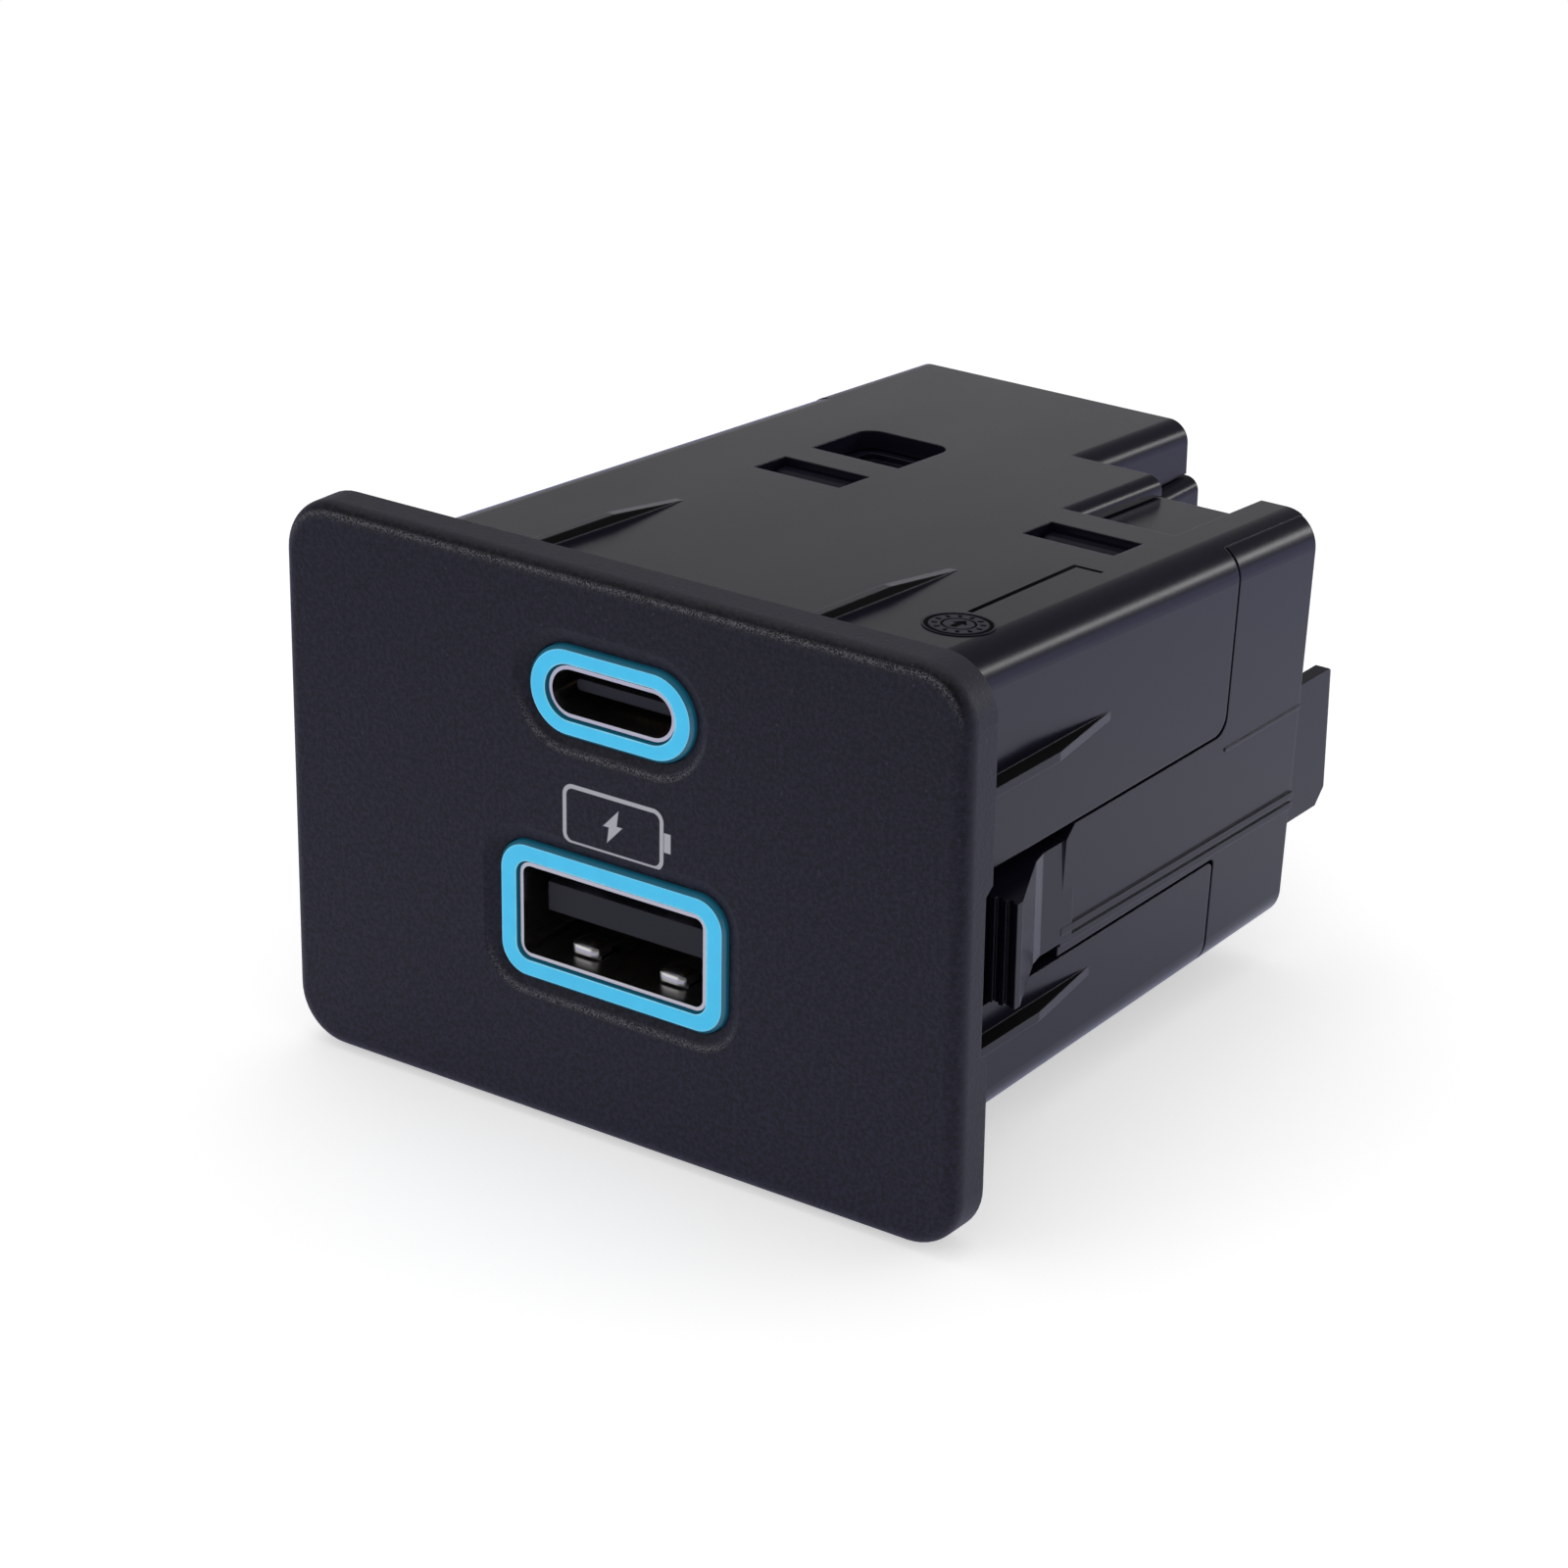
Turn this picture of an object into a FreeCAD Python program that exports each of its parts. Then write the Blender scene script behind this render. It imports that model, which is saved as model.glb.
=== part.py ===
import FreeCAD, Part
import math
import os
import re
import Sketcher

# In-dash USB socket module, all lengths in millimetres.
# X points right and Z up as seen from the cabin, Y points into the dashboard.
# The origin is the middle of the face plate's seating side.

doc = FreeCAD.newDocument("SocketModule")
sheet = doc.addObject("Spreadsheet::Sheet", "Sizes")

# Driving dimensions: name, value, meaning
SIZES = [
    ("plate_w", 48.0, "face plate width"),
    ("plate_tall", 34.8, "face plate height"),
    ("plate_thick", 3.2, "face plate thickness at the rim"),
    ("plate_corner", 3.4, "face plate corner radius"),
    ("plate_front_round", 1.0, "rounding of the front rim"),
    ("plate_back_slope", 0.35, "chamfer of the rear rim"),
    ("face_wall", 1.8, "face plate wall behind the ports"),
    ("relief_depth", 1.0, "step in the rim beside each snap arm"),
    ("relief_reach", 1.9, "width of that step"),
    ("relief_top", 4.0, "upper end of that step"),
    ("relief_bottom", -5.6, "lower end of that step"),
    ("relief_ramp", 0.5, "slope at the ends of that step"),
    ("side_half", 18.74, "half width of the body at mid height"),
    ("side_lean", 0.046, "growth of the half width with height"),
    ("top_level", 15.24, "top of the body at the plate"),
    ("top_lean", -0.063, "drop of the top with depth"),
    ("bottom_level", -15.6, "bottom of the body at the plate"),
    ("bottom_lean", 0.016, "rise of the bottom with depth"),
    ("body_round", 2.2, "radius of the long body edges"),
    ("wall", 1.2, "moulded wall"),
    ("fit_gap", 0.1, "clearance between the sleeve and the tub"),
    ("seam", 0.22, "visible seam between skirt and side band"),
    ("hair_seam", 0.03, "closed seam between the top skin and the side band"),
    ("body_rear", 42.6, "rear end of the top skin"),
    ("bottom_rear", 41.9, "rear end of the bottom skin"),
    ("skirt_rear", 33.2, "rear end of the side skirts"),
    ("skirt_upper", 1.2, "lower edge of the upper skirt"),
    ("skirt_lower", -7.5, "upper edge of the lower skirt"),
    ("skirt_upper_round", 1.2, "corner radius of the upper skirt"),
    ("skirt_lower_round", 0.5, "corner radius of the lower skirt"),
    ("hood_rear", 54.75, "rear end of the connector hood"),
    ("hood_left", -18.7, "left side of the hood"),
    ("hood_right", 2.75, "right side of the hood"),
    ("hood_lip", 8.3, "lower edge of the hood"),
    ("hood_round", 1.4, "radius of the hood's upper edges"),
    ("slot_left", -11.35, "left end of the left snap slot"),
    ("slot_right", 8.3, "left end of the right snap slot"),
    ("slot_w", 6.4, "snap slot width"),
    ("slot_front", 26.2, "front edge of the snap slots"),
    ("slot_len", 3.3, "snap slot length"),
    ("pocket_left", -11.3, "left side of the square window"),
    ("pocket_w", 6.55, "width of the square window"),
    ("pocket_front", 32.3, "front edge of the square window"),
    ("pocket_len", 6.25, "length of the square window"),
    ("pocket_round", 1.3, "rear corner radius of the square window"),
    ("pocket_ledge", 0.7, "ledge inside the square window"),
    ("pocket_deep", 0.6, "depth of the tub's recess inside that ledge"),
    ("wedge_low", 0.55, "depth of the snap wedges below the skin"),
    ("notch_left", 8.1, "left side of the rear cut-out"),
    ("notch_right", 15.2, "right side of the rear cut-out"),
    ("notch_front", 32.3, "front edge of the rear cut-out"),
    ("notch_round", 0.9, "radius along the left edge of that cut-out"),
    ("rib_w", 0.6, "gusset thickness"),
    ("rib_tall", 0.6, "gusset height on the top"),
    ("rib_side_tall", 1.05, "gusset height on the sides"),
    ("rib_level", 10.6, "level length of the top gussets"),
    ("rib_tip", 17.4, "tip of the top gussets"),
    ("rib_side_level", 12.4, "level length of the side gussets"),
    ("rib_side_tip", 19.4, "tip of the side gussets"),
    ("rib_x_left", -10.44, "middle of the left top gusset"),
    ("rib_x_right", 9.31, "middle of the right top gusset"),
    ("rib_z_upper", 6.8, "middle of the upper side gussets"),
    ("rib_z_lower", -9.66, "middle of the lower side gussets"),
    ("arm_root", 15.6, "root of the snap arms"),
    ("arm_knee", 13.4, "end of the arm's flush part"),
    ("arm_rise", 12.2, "start of the arm's steep ramp"),
    ("arm_lock", 6.8, "locking face of the arm"),
    ("arm_top", 0.1, "upper side of the arm"),
    ("arm_bottom", -6.4, "lower side of the arm"),
    ("arm_thick", 1.3, "thickness of the arm"),
    ("arm_hook", 2.7, "reach of the locking face past the body"),
    ("arm_land", 0.3, "flat at the outer tip"),
    ("serration_w", 0.35, "width of a rib on the locking face"),
    ("serration_deep", 0.25, "height of that rib"),
    ("serration_pitch", 0.75, "spacing of those ribs"),
    ("tab_rear", 47.0, "rear end of the rear tabs"),
    ("tab_top", 0.9, "upper side of the rear tabs"),
    ("tab_bottom", -8.15, "lower side of the rear tabs"),
    ("tab_chamfer", 0.15, "chamfer of the rear tabs"),
    ("tab_thick", 1.0, "thickness of the rear tabs"),
    ("tab_foot", 1.0, "chamfer at the lower end of the rear tabs"),
    ("band_ramp", 0.8, "slope at the front corner of the side bands"),
    ("crease_tall", 0.16, "height of the mould beads on the side bands"),
    ("parting_tall", 0.07, "height of the faint rear bead"),
    ("bead_w", 0.45, "width of those beads"),
    ("crease_upper", -5.75, "upper bead, height at its front end"),
    ("crease_lower", -6.45, "lower bead, height at its front end"),
    ("crease_fall", 0.4, "drop of those beads to the rear"),
    ("parting_z", -0.1, "faint rear bead, height at its front end"),
    ("parting_fall", 0.05, "drop of the faint bead to the rear"),
    ("plug_x", -7.45, "middle of the wiring connector"),
    ("shroud_half", 11.15, "half width of the connector shroud"),
    ("shroud_bottom", -3.5, "lower side of the shroud"),
    ("shroud_step", 8.2, "ledge of the shroud under the hood"),
    ("shroud_round", 0.9, "radius of that ledge's edges"),
    ("socket_half", 8.4, "half width of the connector cavity"),
    ("socket_bottom", -2.0, "floor of the connector cavity"),
    ("socket_top", 9.0, "roof of the connector cavity"),
    ("key_w", 1.2, "width of a coding rib"),
    ("key_tall", 1.0, "height of a coding rib"),
    ("port_x", 0.0, "middle of both ports"),
    ("port_inset", 0.3, "shells lie this far behind the plate's face"),
    ("a_z", -4.3, "height of the lower port"),
    ("a_w", 13.4, "lower port shell, outer width"),
    ("a_tall", 6.0, "lower port shell, outer height"),
    ("a_sheet", 0.25, "lower port shell, sheet thickness"),
    ("a_corner", 0.8, "lower port shell, outer corner radius"),
    ("c_z", 10.0, "height of the upper port"),
    ("c_w", 8.94, "upper port shell, outer width"),
    ("c_tall", 3.16, "upper port shell, outer height"),
    ("c_sheet", 0.25, "upper port shell, sheet thickness"),
    ("ring_gap", 0.12, "clearance between a ring and its port shell"),
    ("ring_a_w", 16.2, "lower ring, outer width"),
    ("ring_a_tall", 8.6, "lower ring, outer height"),
    ("ring_a_corner", 2.0, "lower ring, outer corner radius"),
    ("ring_c_w", 11.6, "upper ring, outer width"),
    ("ring_c_tall", 5.5, "upper ring, outer height"),
    ("ring_inset", 0.1, "rings lie this far behind the plate's face"),
    ("ring_edge", 0.2, "chamfer of a ring's outer edge"),
    ("ring_leg_w", 1.0, "width of a light guide leg"),
    ("ring_leg_tall", 2.4, "height of a light guide leg"),
    ("ring_clear", 0.08, "gap between a ring and the plate"),
    ("recess_w", 1.0, "width of the sloping recess round a ring"),
    ("recess_deep", 0.45, "depth of that recess"),
    ("flange_reach", 0.8, "ring flange, width beyond the ring"),
    ("flange_thick", 0.5, "ring flange, thickness"),
    ("ring_rear", 9.75, "rear end of the light guides"),
    ("board_front", 10.5, "front side of the upright board"),
    ("board_thick", 1.6, "circuit board thickness"),
    ("board_side_clear", 0.75, "gap beside the circuit boards"),
    ("board_top", 12.4, "upper edge of the upright board"),
    ("board_bottom", -12.8, "lower edge of the upright board"),
    ("post_x", 13.0, "support posts, distance from the middle"),
    ("post_top", 10.6, "upper support posts, height"),
    ("post_bottom", -11.0, "lower support posts, height"),
    ("post_r", 1.5, "support post radius"),
    ("stake_r", 0.7, "radius of the pin on a support post"),
    ("hole_clear", 0.12, "clearance of holes in the boards"),
    ("slip", 0.03, "clearance of metal in insulators"),
    ("tongue_inset", 1.2, "tongues lie this far behind the shells"),
    ("base_len", 3.6, "length of the insulator base"),
    ("a_tongue_w", 11.1, "lower tongue width"),
    ("a_tongue_low", -0.3, "lower tongue, underside above the port's middle"),
    ("a_tongue_thick", 1.8, "lower tongue thickness"),
    ("a_contact_w", 0.95, "lower contact width"),
    ("a_contact_thick", 0.2, "lower contact thickness"),
    ("a_contact_start", 0.8, "lower contacts start this far behind the tongue's tip"),
    ("a_contact_outer", 3.5, "outer contacts, distance from the middle"),
    ("a_contact_inner", 1.0, "inner contacts, distance from the middle"),
    ("tail_rear", 12.9, "rear end of the contact tails"),
    ("c_tongue_w", 6.69, "upper tongue width"),
    ("c_tongue_thick", 0.7, "upper tongue thickness"),
    ("c_pitch", 0.5, "upper contact pitch"),
    ("c_contact_w", 0.26, "upper contact width"),
    ("c_contact_thick", 0.08, "upper contact thickness"),
    ("c_contact_start", 2.4, "upper contacts start this far behind the tongue's tip"),
    ("spring_x", 3.15, "spring fingers, distance from the middle"),
    ("spring_w", 1.9, "spring finger width"),
    ("spring_gap", 0.1, "slot round a spring finger"),
    ("spring_root", 5.2, "root of the spring fingers"),
    ("spring_bump", -0.6, "highest point of the spring fingers"),
    ("spring_tip", -1.1, "free end of the spring fingers"),
    ("spring_rise", 0.7, "travel of the spring fingers into the port"),
    ("shell_leg_lap", 0.5, "overlap of a port shell leg and its tube"),
    ("shell_leg_w", 1.0, "port shell leg width"),
    ("shell_leg_x", 4.6, "port shell legs, distance from the middle"),
    ("led_w", 1.6, "light source width"),
    ("led_tall", 0.9, "light source height"),
    ("led_thick", 0.6, "light source thickness"),
    ("main_top", -1.4, "upper side of the level board"),
    ("main_front", 13.0, "front edge of the level board"),
    ("main_rear", 40.8, "rear edge of the level board"),
    ("rail_w", 1.0, "width of the rails below the level board"),
    ("rail_tall", 1.5, "height of those rails"),
    ("link_count", 8, "pins between the boards"),
    ("link_pitch", 2.0, "spacing of those pins"),
    ("link_z", 0.7, "height of those pins"),
    ("link_wire", 0.5, "thickness of those pins"),
    ("link_half", 8.2, "half width of their insulator"),
    ("link_len", 2.6, "length of their insulator"),
    ("link_leg", 16.2, "depth of their downward legs"),
    ("pin_count", 6, "wiring pins in a row"),
    ("pin_pitch", 2.5, "spacing of the wiring pins"),
    ("pin_wire", 0.64, "thickness of the wiring pins"),
    ("pin_low", 1.7, "height of the lower row"),
    ("pin_rise", 3.5, "distance between the rows"),
    ("pin_end", 49.5, "free end of the wiring pins"),
    ("pin_ahead", 1.8, "distance from their insulator to the lower row's legs"),
    ("pin_leg_step", 2.0, "distance to the upper row's legs"),
    ("leg_below", 1.2, "pin length below a board"),
    ("header_len", 3.8, "length of the wiring insulator"),
    ("header_half", 7.6, "half width of the wiring insulator"),
    ("header_top", 7.4, "top of the wiring insulator"),
    ("chip_size", 7.0, "hub chip, side length"),
    ("chip_tall", 0.9, "hub chip, height"),
    ("chip_x", -3.5, "hub chip, place across"),
    ("chip_y", 24.0, "hub chip, place in depth"),
    ("reg_w", 3.9, "regulator body width"),
    ("reg_len", 4.9, "regulator body length"),
    ("reg_tall", 1.5, "regulator height"),
    ("reg_stand", 0.1, "gap between the regulator and the board"),
    ("reg_x", 8.8, "regulator, place across"),
    ("reg_y", 20.5, "regulator, place in depth"),
    ("reg_lead", 1.05, "regulator lead length"),
    ("reg_lead_thick", 0.2, "regulator lead thickness"),
    ("reg_pitch", 1.27, "regulator lead pitch"),
    ("reg_lead_w", 0.4, "regulator lead width"),
    ("coil_size", 6.6, "inductor, side length"),
    ("coil_tall", 3.0, "inductor height"),
    ("coil_x", 9.0, "inductor, place across"),
    ("coil_y", 28.5, "inductor, place in depth"),
    ("can_r", 2.5, "capacitor can radius"),
    ("can_tall", 5.4, "capacitor can height"),
    ("can_base", 0.9, "capacitor base height"),
    ("can_margin", 0.3, "capacitor base, width beyond the can"),
    ("can_x", -11.4, "capacitor cans, place across"),
    ("can_y", 19.0, "first capacitor can, place in depth"),
    ("can_step", 7.0, "distance between the cans"),
    ("cera_w", 1.6, "ceramic capacitor length"),
    ("cera_thick", 0.8, "ceramic capacitor width and height"),
    ("cera_pitch", 2.6, "spacing of the ceramic capacitors"),
    ("cera_gap", 1.4, "ceramic capacitors, distance from a chip"),
    ("cera_side", 4.2, "ceramic capacitors beside the crystal, distance across"),
    ("xtal_w", 3.2, "crystal length"),
    ("xtal_len", 2.5, "crystal width"),
    ("xtal_tall", 0.75, "crystal height"),
    ("xtal_y", 30.2, "crystal, place in depth"),
    ("fuse_w", 4.5, "fuse length"),
    ("fuse_len", 3.2, "fuse width"),
    ("fuse_tall", 0.9, "fuse height"),
    ("fuse_x", 9.0, "fuse, place across"),
    ("fuse_y", 36.5, "fuse, place in depth"),
    ("surge_w", 2.9, "surge array width"),
    ("surge_tall", 1.6, "surge array height"),
    ("surge_thick", 1.1, "surge array thickness"),
    ("surge_x", 5.0, "surge arrays, distance from the middle"),
    ("surge_z", 5.6, "surge arrays, height"),
]

for row, (alias, value, meaning) in enumerate(SIZES, start=1):
    sheet.set("A%d" % row, alias)
    sheet.set("B%d" % row, str(value))
    sheet.set("C%d" % row, meaning)
    sheet.setAlias("B%d" % row, alias)
doc.recompute()

ALIASES = {alias for alias, value, meaning in SIZES}
PLANES = {"XY": "XY_Plane", "XZ": "XZ_Plane", "YZ": "YZ_Plane"}
# Lengths of cutting tools that only have to pass right through
FAR = "60"
PAST = "1"


def bound(text):
    """Puts the sheet's name before every size that an expression mentions."""
    return re.sub(r"[a-z_][a-z0-9_]*",
                  lambda word: ("Sizes." if word.group(0) in ALIASES else "") + word.group(0),
                  str(text))


def number(text):
    """Present value of an expression."""
    return float(sheet.evalExpression(bound(text)))


def minus(text):
    return "-(%s)" % text


def plus(*terms):
    return " + ".join("(%s)" % term for term in terms)


# Lean surfaces of the body, as expressions
def top_at(depth, inset="0"):
    return plus("top_level", "top_lean * (%s)" % depth, minus(inset))


def bottom_at(depth, inset="0"):
    return plus("bottom_level", "bottom_lean * (%s)" % depth, inset)


def side_at(height, inset="0"):
    return plus("side_half", "side_lean * (%s)" % height, minus(inset))


# Sketch and solid builders
def new_sketch(body, name, plane, offset):
    sketch = body.newObject("Sketcher::SketchObject", name)
    datum = [item for item in body.Origin.OriginFeatures if item.Role == PLANES[plane]][0]
    sketch.AttachmentSupport = [(datum, "")]
    sketch.MapMode = "FlatFace"
    sketch.setExpression("AttachmentOffset.Base.z", bound(offset))
    return sketch


def add_polygon(sketch, points):
    """Closed polygon with every corner placed by the sheet."""
    first = len(sketch.Geometry)
    count = len(points)
    corners = [FreeCAD.Vector(number(a), number(b), 0) for a, b in points]
    sides = [Part.LineSegment(corners[i], corners[(i + 1) % count]) for i in range(count)]
    sketch.addGeometry(sides, False)
    rules = [Sketcher.Constraint("Coincident", first + i, 2, first + (i + 1) % count, 1)
             for i in range(count)]
    for i, corner in enumerate(corners):
        rules.append(Sketcher.Constraint("DistanceX", -1, 1, first + i, 1, corner.x))
        rules.append(Sketcher.Constraint("DistanceY", -1, 1, first + i, 1, corner.y))
    start = len(sketch.Constraints) + count
    sketch.addConstraint(rules)
    for i, (a, b) in enumerate(points):
        sketch.setExpression("Constraints[%d]" % (start + 2 * i), bound(a))
        sketch.setExpression("Constraints[%d]" % (start + 2 * i + 1), bound(b))


def add_stadium(sketch, x, z, reach, radius):
    """Two half circles joined by two lines, centred on x, z."""
    cx, cz, d, r = number(x), number(z), number(reach), number(radius)
    up = FreeCAD.Vector(0, 0, 1)
    right = Part.Circle(FreeCAD.Vector(cx + d, cz, 0), up, r)
    left = Part.Circle(FreeCAD.Vector(cx - d, cz, 0), up, r)
    sketch.addGeometry([
        Part.ArcOfCircle(right, -math.pi / 2, math.pi / 2),
        Part.LineSegment(FreeCAD.Vector(cx + d, cz + r, 0), FreeCAD.Vector(cx - d, cz + r, 0)),
        Part.ArcOfCircle(left, math.pi / 2, math.pi * 3 / 2),
        Part.LineSegment(FreeCAD.Vector(cx - d, cz - r, 0), FreeCAD.Vector(cx + d, cz - r, 0)),
    ], False)
    rule = Sketcher.Constraint
    sketch.addConstraint([
        rule("Tangent", 0, 2, 1, 1), rule("Tangent", 1, 2, 2, 1),
        rule("Tangent", 2, 2, 3, 1), rule("Tangent", 3, 2, 0, 1),
        rule("Equal", 0, 2), rule("Radius", 0, r),
        rule("DistanceX", -1, 1, 0, 3, cx + d), rule("DistanceY", -1, 1, 0, 3, cz),
        rule("DistanceX", -1, 1, 2, 3, cx - d), rule("DistanceY", -1, 1, 2, 3, cz),
    ])
    for index, text in [(5, radius), (6, plus(x, reach)), (7, z), (8, plus(x, minus(reach))), (9, z)]:
        sketch.setExpression("Constraints[%d]" % index, bound(text))


def pad(body, sketch, length):
    feature = body.newObject("PartDesign::Pad", body.Name + "_Pad")
    feature.Profile = sketch
    feature.setExpression("Length", bound(length))
    doc.recompute()
    return feature


def dress(body, kind, size_name, size, wanted):
    """Fillet or Chamfer on every edge of the body's tip whose ends both pass the test."""
    tip = body.Tip
    names = []
    for index, edge in enumerate(tip.Shape.Edges, start=1):
        if len(edge.Vertexes) == 2 and wanted(edge.Vertexes[0].Point, edge.Vertexes[1].Point):
            names.append("Edge%d" % index)
    if not names:
        raise RuntimeError("%s: no edge to dress" % body.Name)
    feature = body.newObject("PartDesign::" + kind, body.Name + "_" + kind)
    feature.Base = (tip, names)
    feature.setExpression(size_name, bound(size))
    doc.recompute()
    return feature


def same(a, b):
    return abs(a - b) < 1e-4


def softened(name, item, radius, wanted):
    """The same solid with rounded edges, where both of an edge's ends pass the test."""
    doc.recompute()
    body = doc.addObject("PartDesign::Body", name)
    body.BaseFeature = item
    doc.recompute()
    dress(body, "Fillet", "Radius", radius, wanted)
    return body


def prism(name, plane, points, near, far, rounds=()):
    """Polygon drawn on an origin plane and padded between two stations of its normal.

    rounds lists (radius, corner numbers) for edges that run along the pad.
    """
    body = doc.addObject("PartDesign::Body", name)
    start = minus(far) if plane == "XZ" else near
    sketch = new_sketch(body, name + "_Outline", plane, start)
    add_polygon(sketch, points)
    pad(body, sketch, plus(far, minus(near)))
    axes = {"XY": "xy", "XZ": "xz", "YZ": "yz"}[plane]
    for radius, corners in rounds:
        spots = [(number(points[i][0]), number(points[i][1])) for i in corners]

        def along(a, b):
            return any(same(getattr(p, axes[0]), u) and same(getattr(p, axes[1]), v)
                       and same(getattr(q, axes[0]), u) and same(getattr(q, axes[1]), v)
                       for u, v in spots for p, q in [(a, b)])

        dress(body, "Fillet", "Radius", radius, along)
    return body


def rectangle(x, z, half_w, half_tall):
    left, right = plus(x, minus(half_w)), plus(x, half_w)
    low, high = plus(z, minus(half_tall)), plus(z, half_tall)
    return [(left, low), (right, low), (right, high), (left, high)]


def rounded_bar(name, x, z, half_w, half_tall, corner, near, far):
    """Bar along Y with a rounded rectangular section."""
    return prism(name, "XZ", rectangle(x, z, half_w, half_tall), near, far, [(corner, [0, 1, 2, 3])])


def stadium_bar(name, x, z, half_w, half_tall, near, far):
    """Bar along Y with a section that ends in half circles."""
    body = doc.addObject("PartDesign::Body", name)
    sketch = new_sketch(body, name + "_Outline", "XZ", minus(far))
    add_stadium(sketch, x, z, plus(half_w, minus(half_tall)), half_tall)
    pad(body, sketch, plus(far, minus(near)))
    return body


def lean_form(name, side, top, bottom, near, far, radius=None):
    """Body form between two depths, with each face moved inwards by its own inset."""
    body = doc.addObject("PartDesign::Body", name)
    sketch = new_sketch(body, name + "_Side", "YZ", minus(FAR))
    add_polygon(sketch, [(near, bottom_at(near, bottom)), (far, bottom_at(far, bottom)),
                         (far, top_at(far, top)), (near, top_at(near, top))])
    pad(body, sketch, "2 * " + FAR)
    trim = new_sketch(body, name + "_Front", "XZ", "-2 * " + FAR)
    outer = "3 * " + FAR
    for sign in ("", "-"):
        low, high = side_at(minus(FAR), side), side_at(FAR, side)
        add_polygon(trim, [("%s(%s)" % (sign, low), minus(FAR)), ("%s(%s)" % (sign, outer), minus(FAR)),
                           ("%s(%s)" % (sign, outer), FAR), ("%s(%s)" % (sign, high), FAR)])
    before = body.Shape.Volume
    pocket = body.newObject("PartDesign::Pocket", name + "_Trim")
    pocket.Profile = trim
    pocket.Reversed = True
    pocket.setExpression("Length", "4 * " + FAR)
    doc.recompute()
    if not body.Shape.Volume < before:
        raise RuntimeError(name + ": the sides weren't trimmed")
    if radius:
        dress(body, "Fillet", "Radius", radius, lambda a, b: abs(a.y - b.y) > 1)
    return body


def box(name, x0, x1, y0, y1, z0, z1):
    block = doc.addObject("Part::Box", name)
    spans = (("Length", x0, x1, "x"), ("Width", y0, y1, "y"), ("Height", z0, z1, "z"))
    for side, low, high, place in spans:
        block.setExpression(side, bound(plus(high, minus(low))))
        block.setExpression("Placement.Base." + place, bound(low))
    return block


def centred_box(name, x, y, z, w, length, tall):
    """Box centred on x and y that stands on z."""
    return box(name, "%s - (%s) / 2" % (x, w), "%s + (%s) / 2" % (x, w),
               "%s - (%s) / 2" % (y, length), "%s + (%s) / 2" % (y, length), z, plus(z, tall))


def rod(name, x, z, radius, near, far):
    """Cylinder along Y."""
    item = doc.addObject("Part::Cylinder", name)
    item.setExpression("Radius", bound(radius))
    item.setExpression("Height", bound(plus(far, minus(near))))
    item.Placement = FreeCAD.Placement(FreeCAD.Vector(), FreeCAD.Rotation(FreeCAD.Vector(1, 0, 0), -90))
    item.setExpression("Placement.Base.x", bound(x))
    item.setExpression("Placement.Base.y", bound(near))
    item.setExpression("Placement.Base.z", bound(z))
    return item


def drum(name, x, y, z, radius, tall):
    """Cylinder along Z."""
    item = doc.addObject("Part::Cylinder", name)
    item.setExpression("Radius", bound(radius))
    item.setExpression("Height", bound(tall))
    item.setExpression("Placement.Base.x", bound(x))
    item.setExpression("Placement.Base.y", bound(y))
    item.setExpression("Placement.Base.z", bound(z))
    return item


def mirrored(item):
    """Copy on the other side of the middle plane."""
    copy = doc.addObject("Part::Mirroring", item.Name + "_Left")
    copy.Source = item
    copy.Normal = FreeCAD.Vector(1, 0, 0)
    return copy


def both(item):
    return [item, mirrored(item)]


def fuse(name, items):
    result = doc.addObject("Part::MultiFuse", name)
    result.Shapes = items
    result.Refine = True
    return result


def group(name, items):
    result = doc.addObject("Part::Compound", name)
    result.Links = items
    return result


def cut(name, base, tools):
    result = doc.addObject("Part::Cut", name)
    result.Base = base
    result.Tool = tools[0] if len(tools) == 1 else fuse(name + "_Tools", tools)
    return result


def common(name, first, second):
    result = doc.addObject("Part::Common", name)
    result.Base = first
    result.Tool = second
    return result


NODES = []


def node(item, label):
    item.Label = label
    NODES.append(item)


# Named stations
plate_face = "-plate_thick"
shell_front = "-plate_thick + port_inset"
ring_front = "-plate_thick + ring_inset"
board_rear = "board_front + board_thick"
tub_inset = "wall + fit_gap"
tub_inner = "2 * wall + fit_gap"
tub_rear = "body_rear - fit_gap"
header_rear = tub_rear + " - wall - fit_gap"
pin_leg = header_rear + " - header_len - pin_ahead"
board_half = side_at("main_top", plus(tub_inner, "board_side_clear"))
arm_flush = side_at("(arm_top + arm_bottom) / 2")
arm_inner = plus(arm_flush, "-arm_thick")
arm_out = plus(arm_flush, "arm_hook")

# Face plate
plate = prism("Plate", "XZ", rectangle("0", "0", "plate_w / 2", "plate_tall / 2"), plate_face, "0",
              [("plate_corner", [0, 1, 2, 3])])
front_level = number(plate_face)
dress(plate, "Fillet", "Radius", "plate_front_round",
      lambda a, b: same(a.y, front_level) and same(b.y, front_level))
dress(plate, "Chamfer", "Size", "plate_back_slope", lambda a, b: same(a.y, 0) and same(b.y, 0))
relief = prism("PlateRelief", "YZ",
               [(PAST, plus("relief_top", "relief_ramp", PAST)), ("-relief_depth", "relief_top"),
                ("-relief_depth", "relief_bottom"),
                (PAST, plus("relief_bottom", "-relief_ramp", "-" + PAST))],
               "plate_w / 2 - relief_reach", plus("plate_w / 2", PAST))

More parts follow.
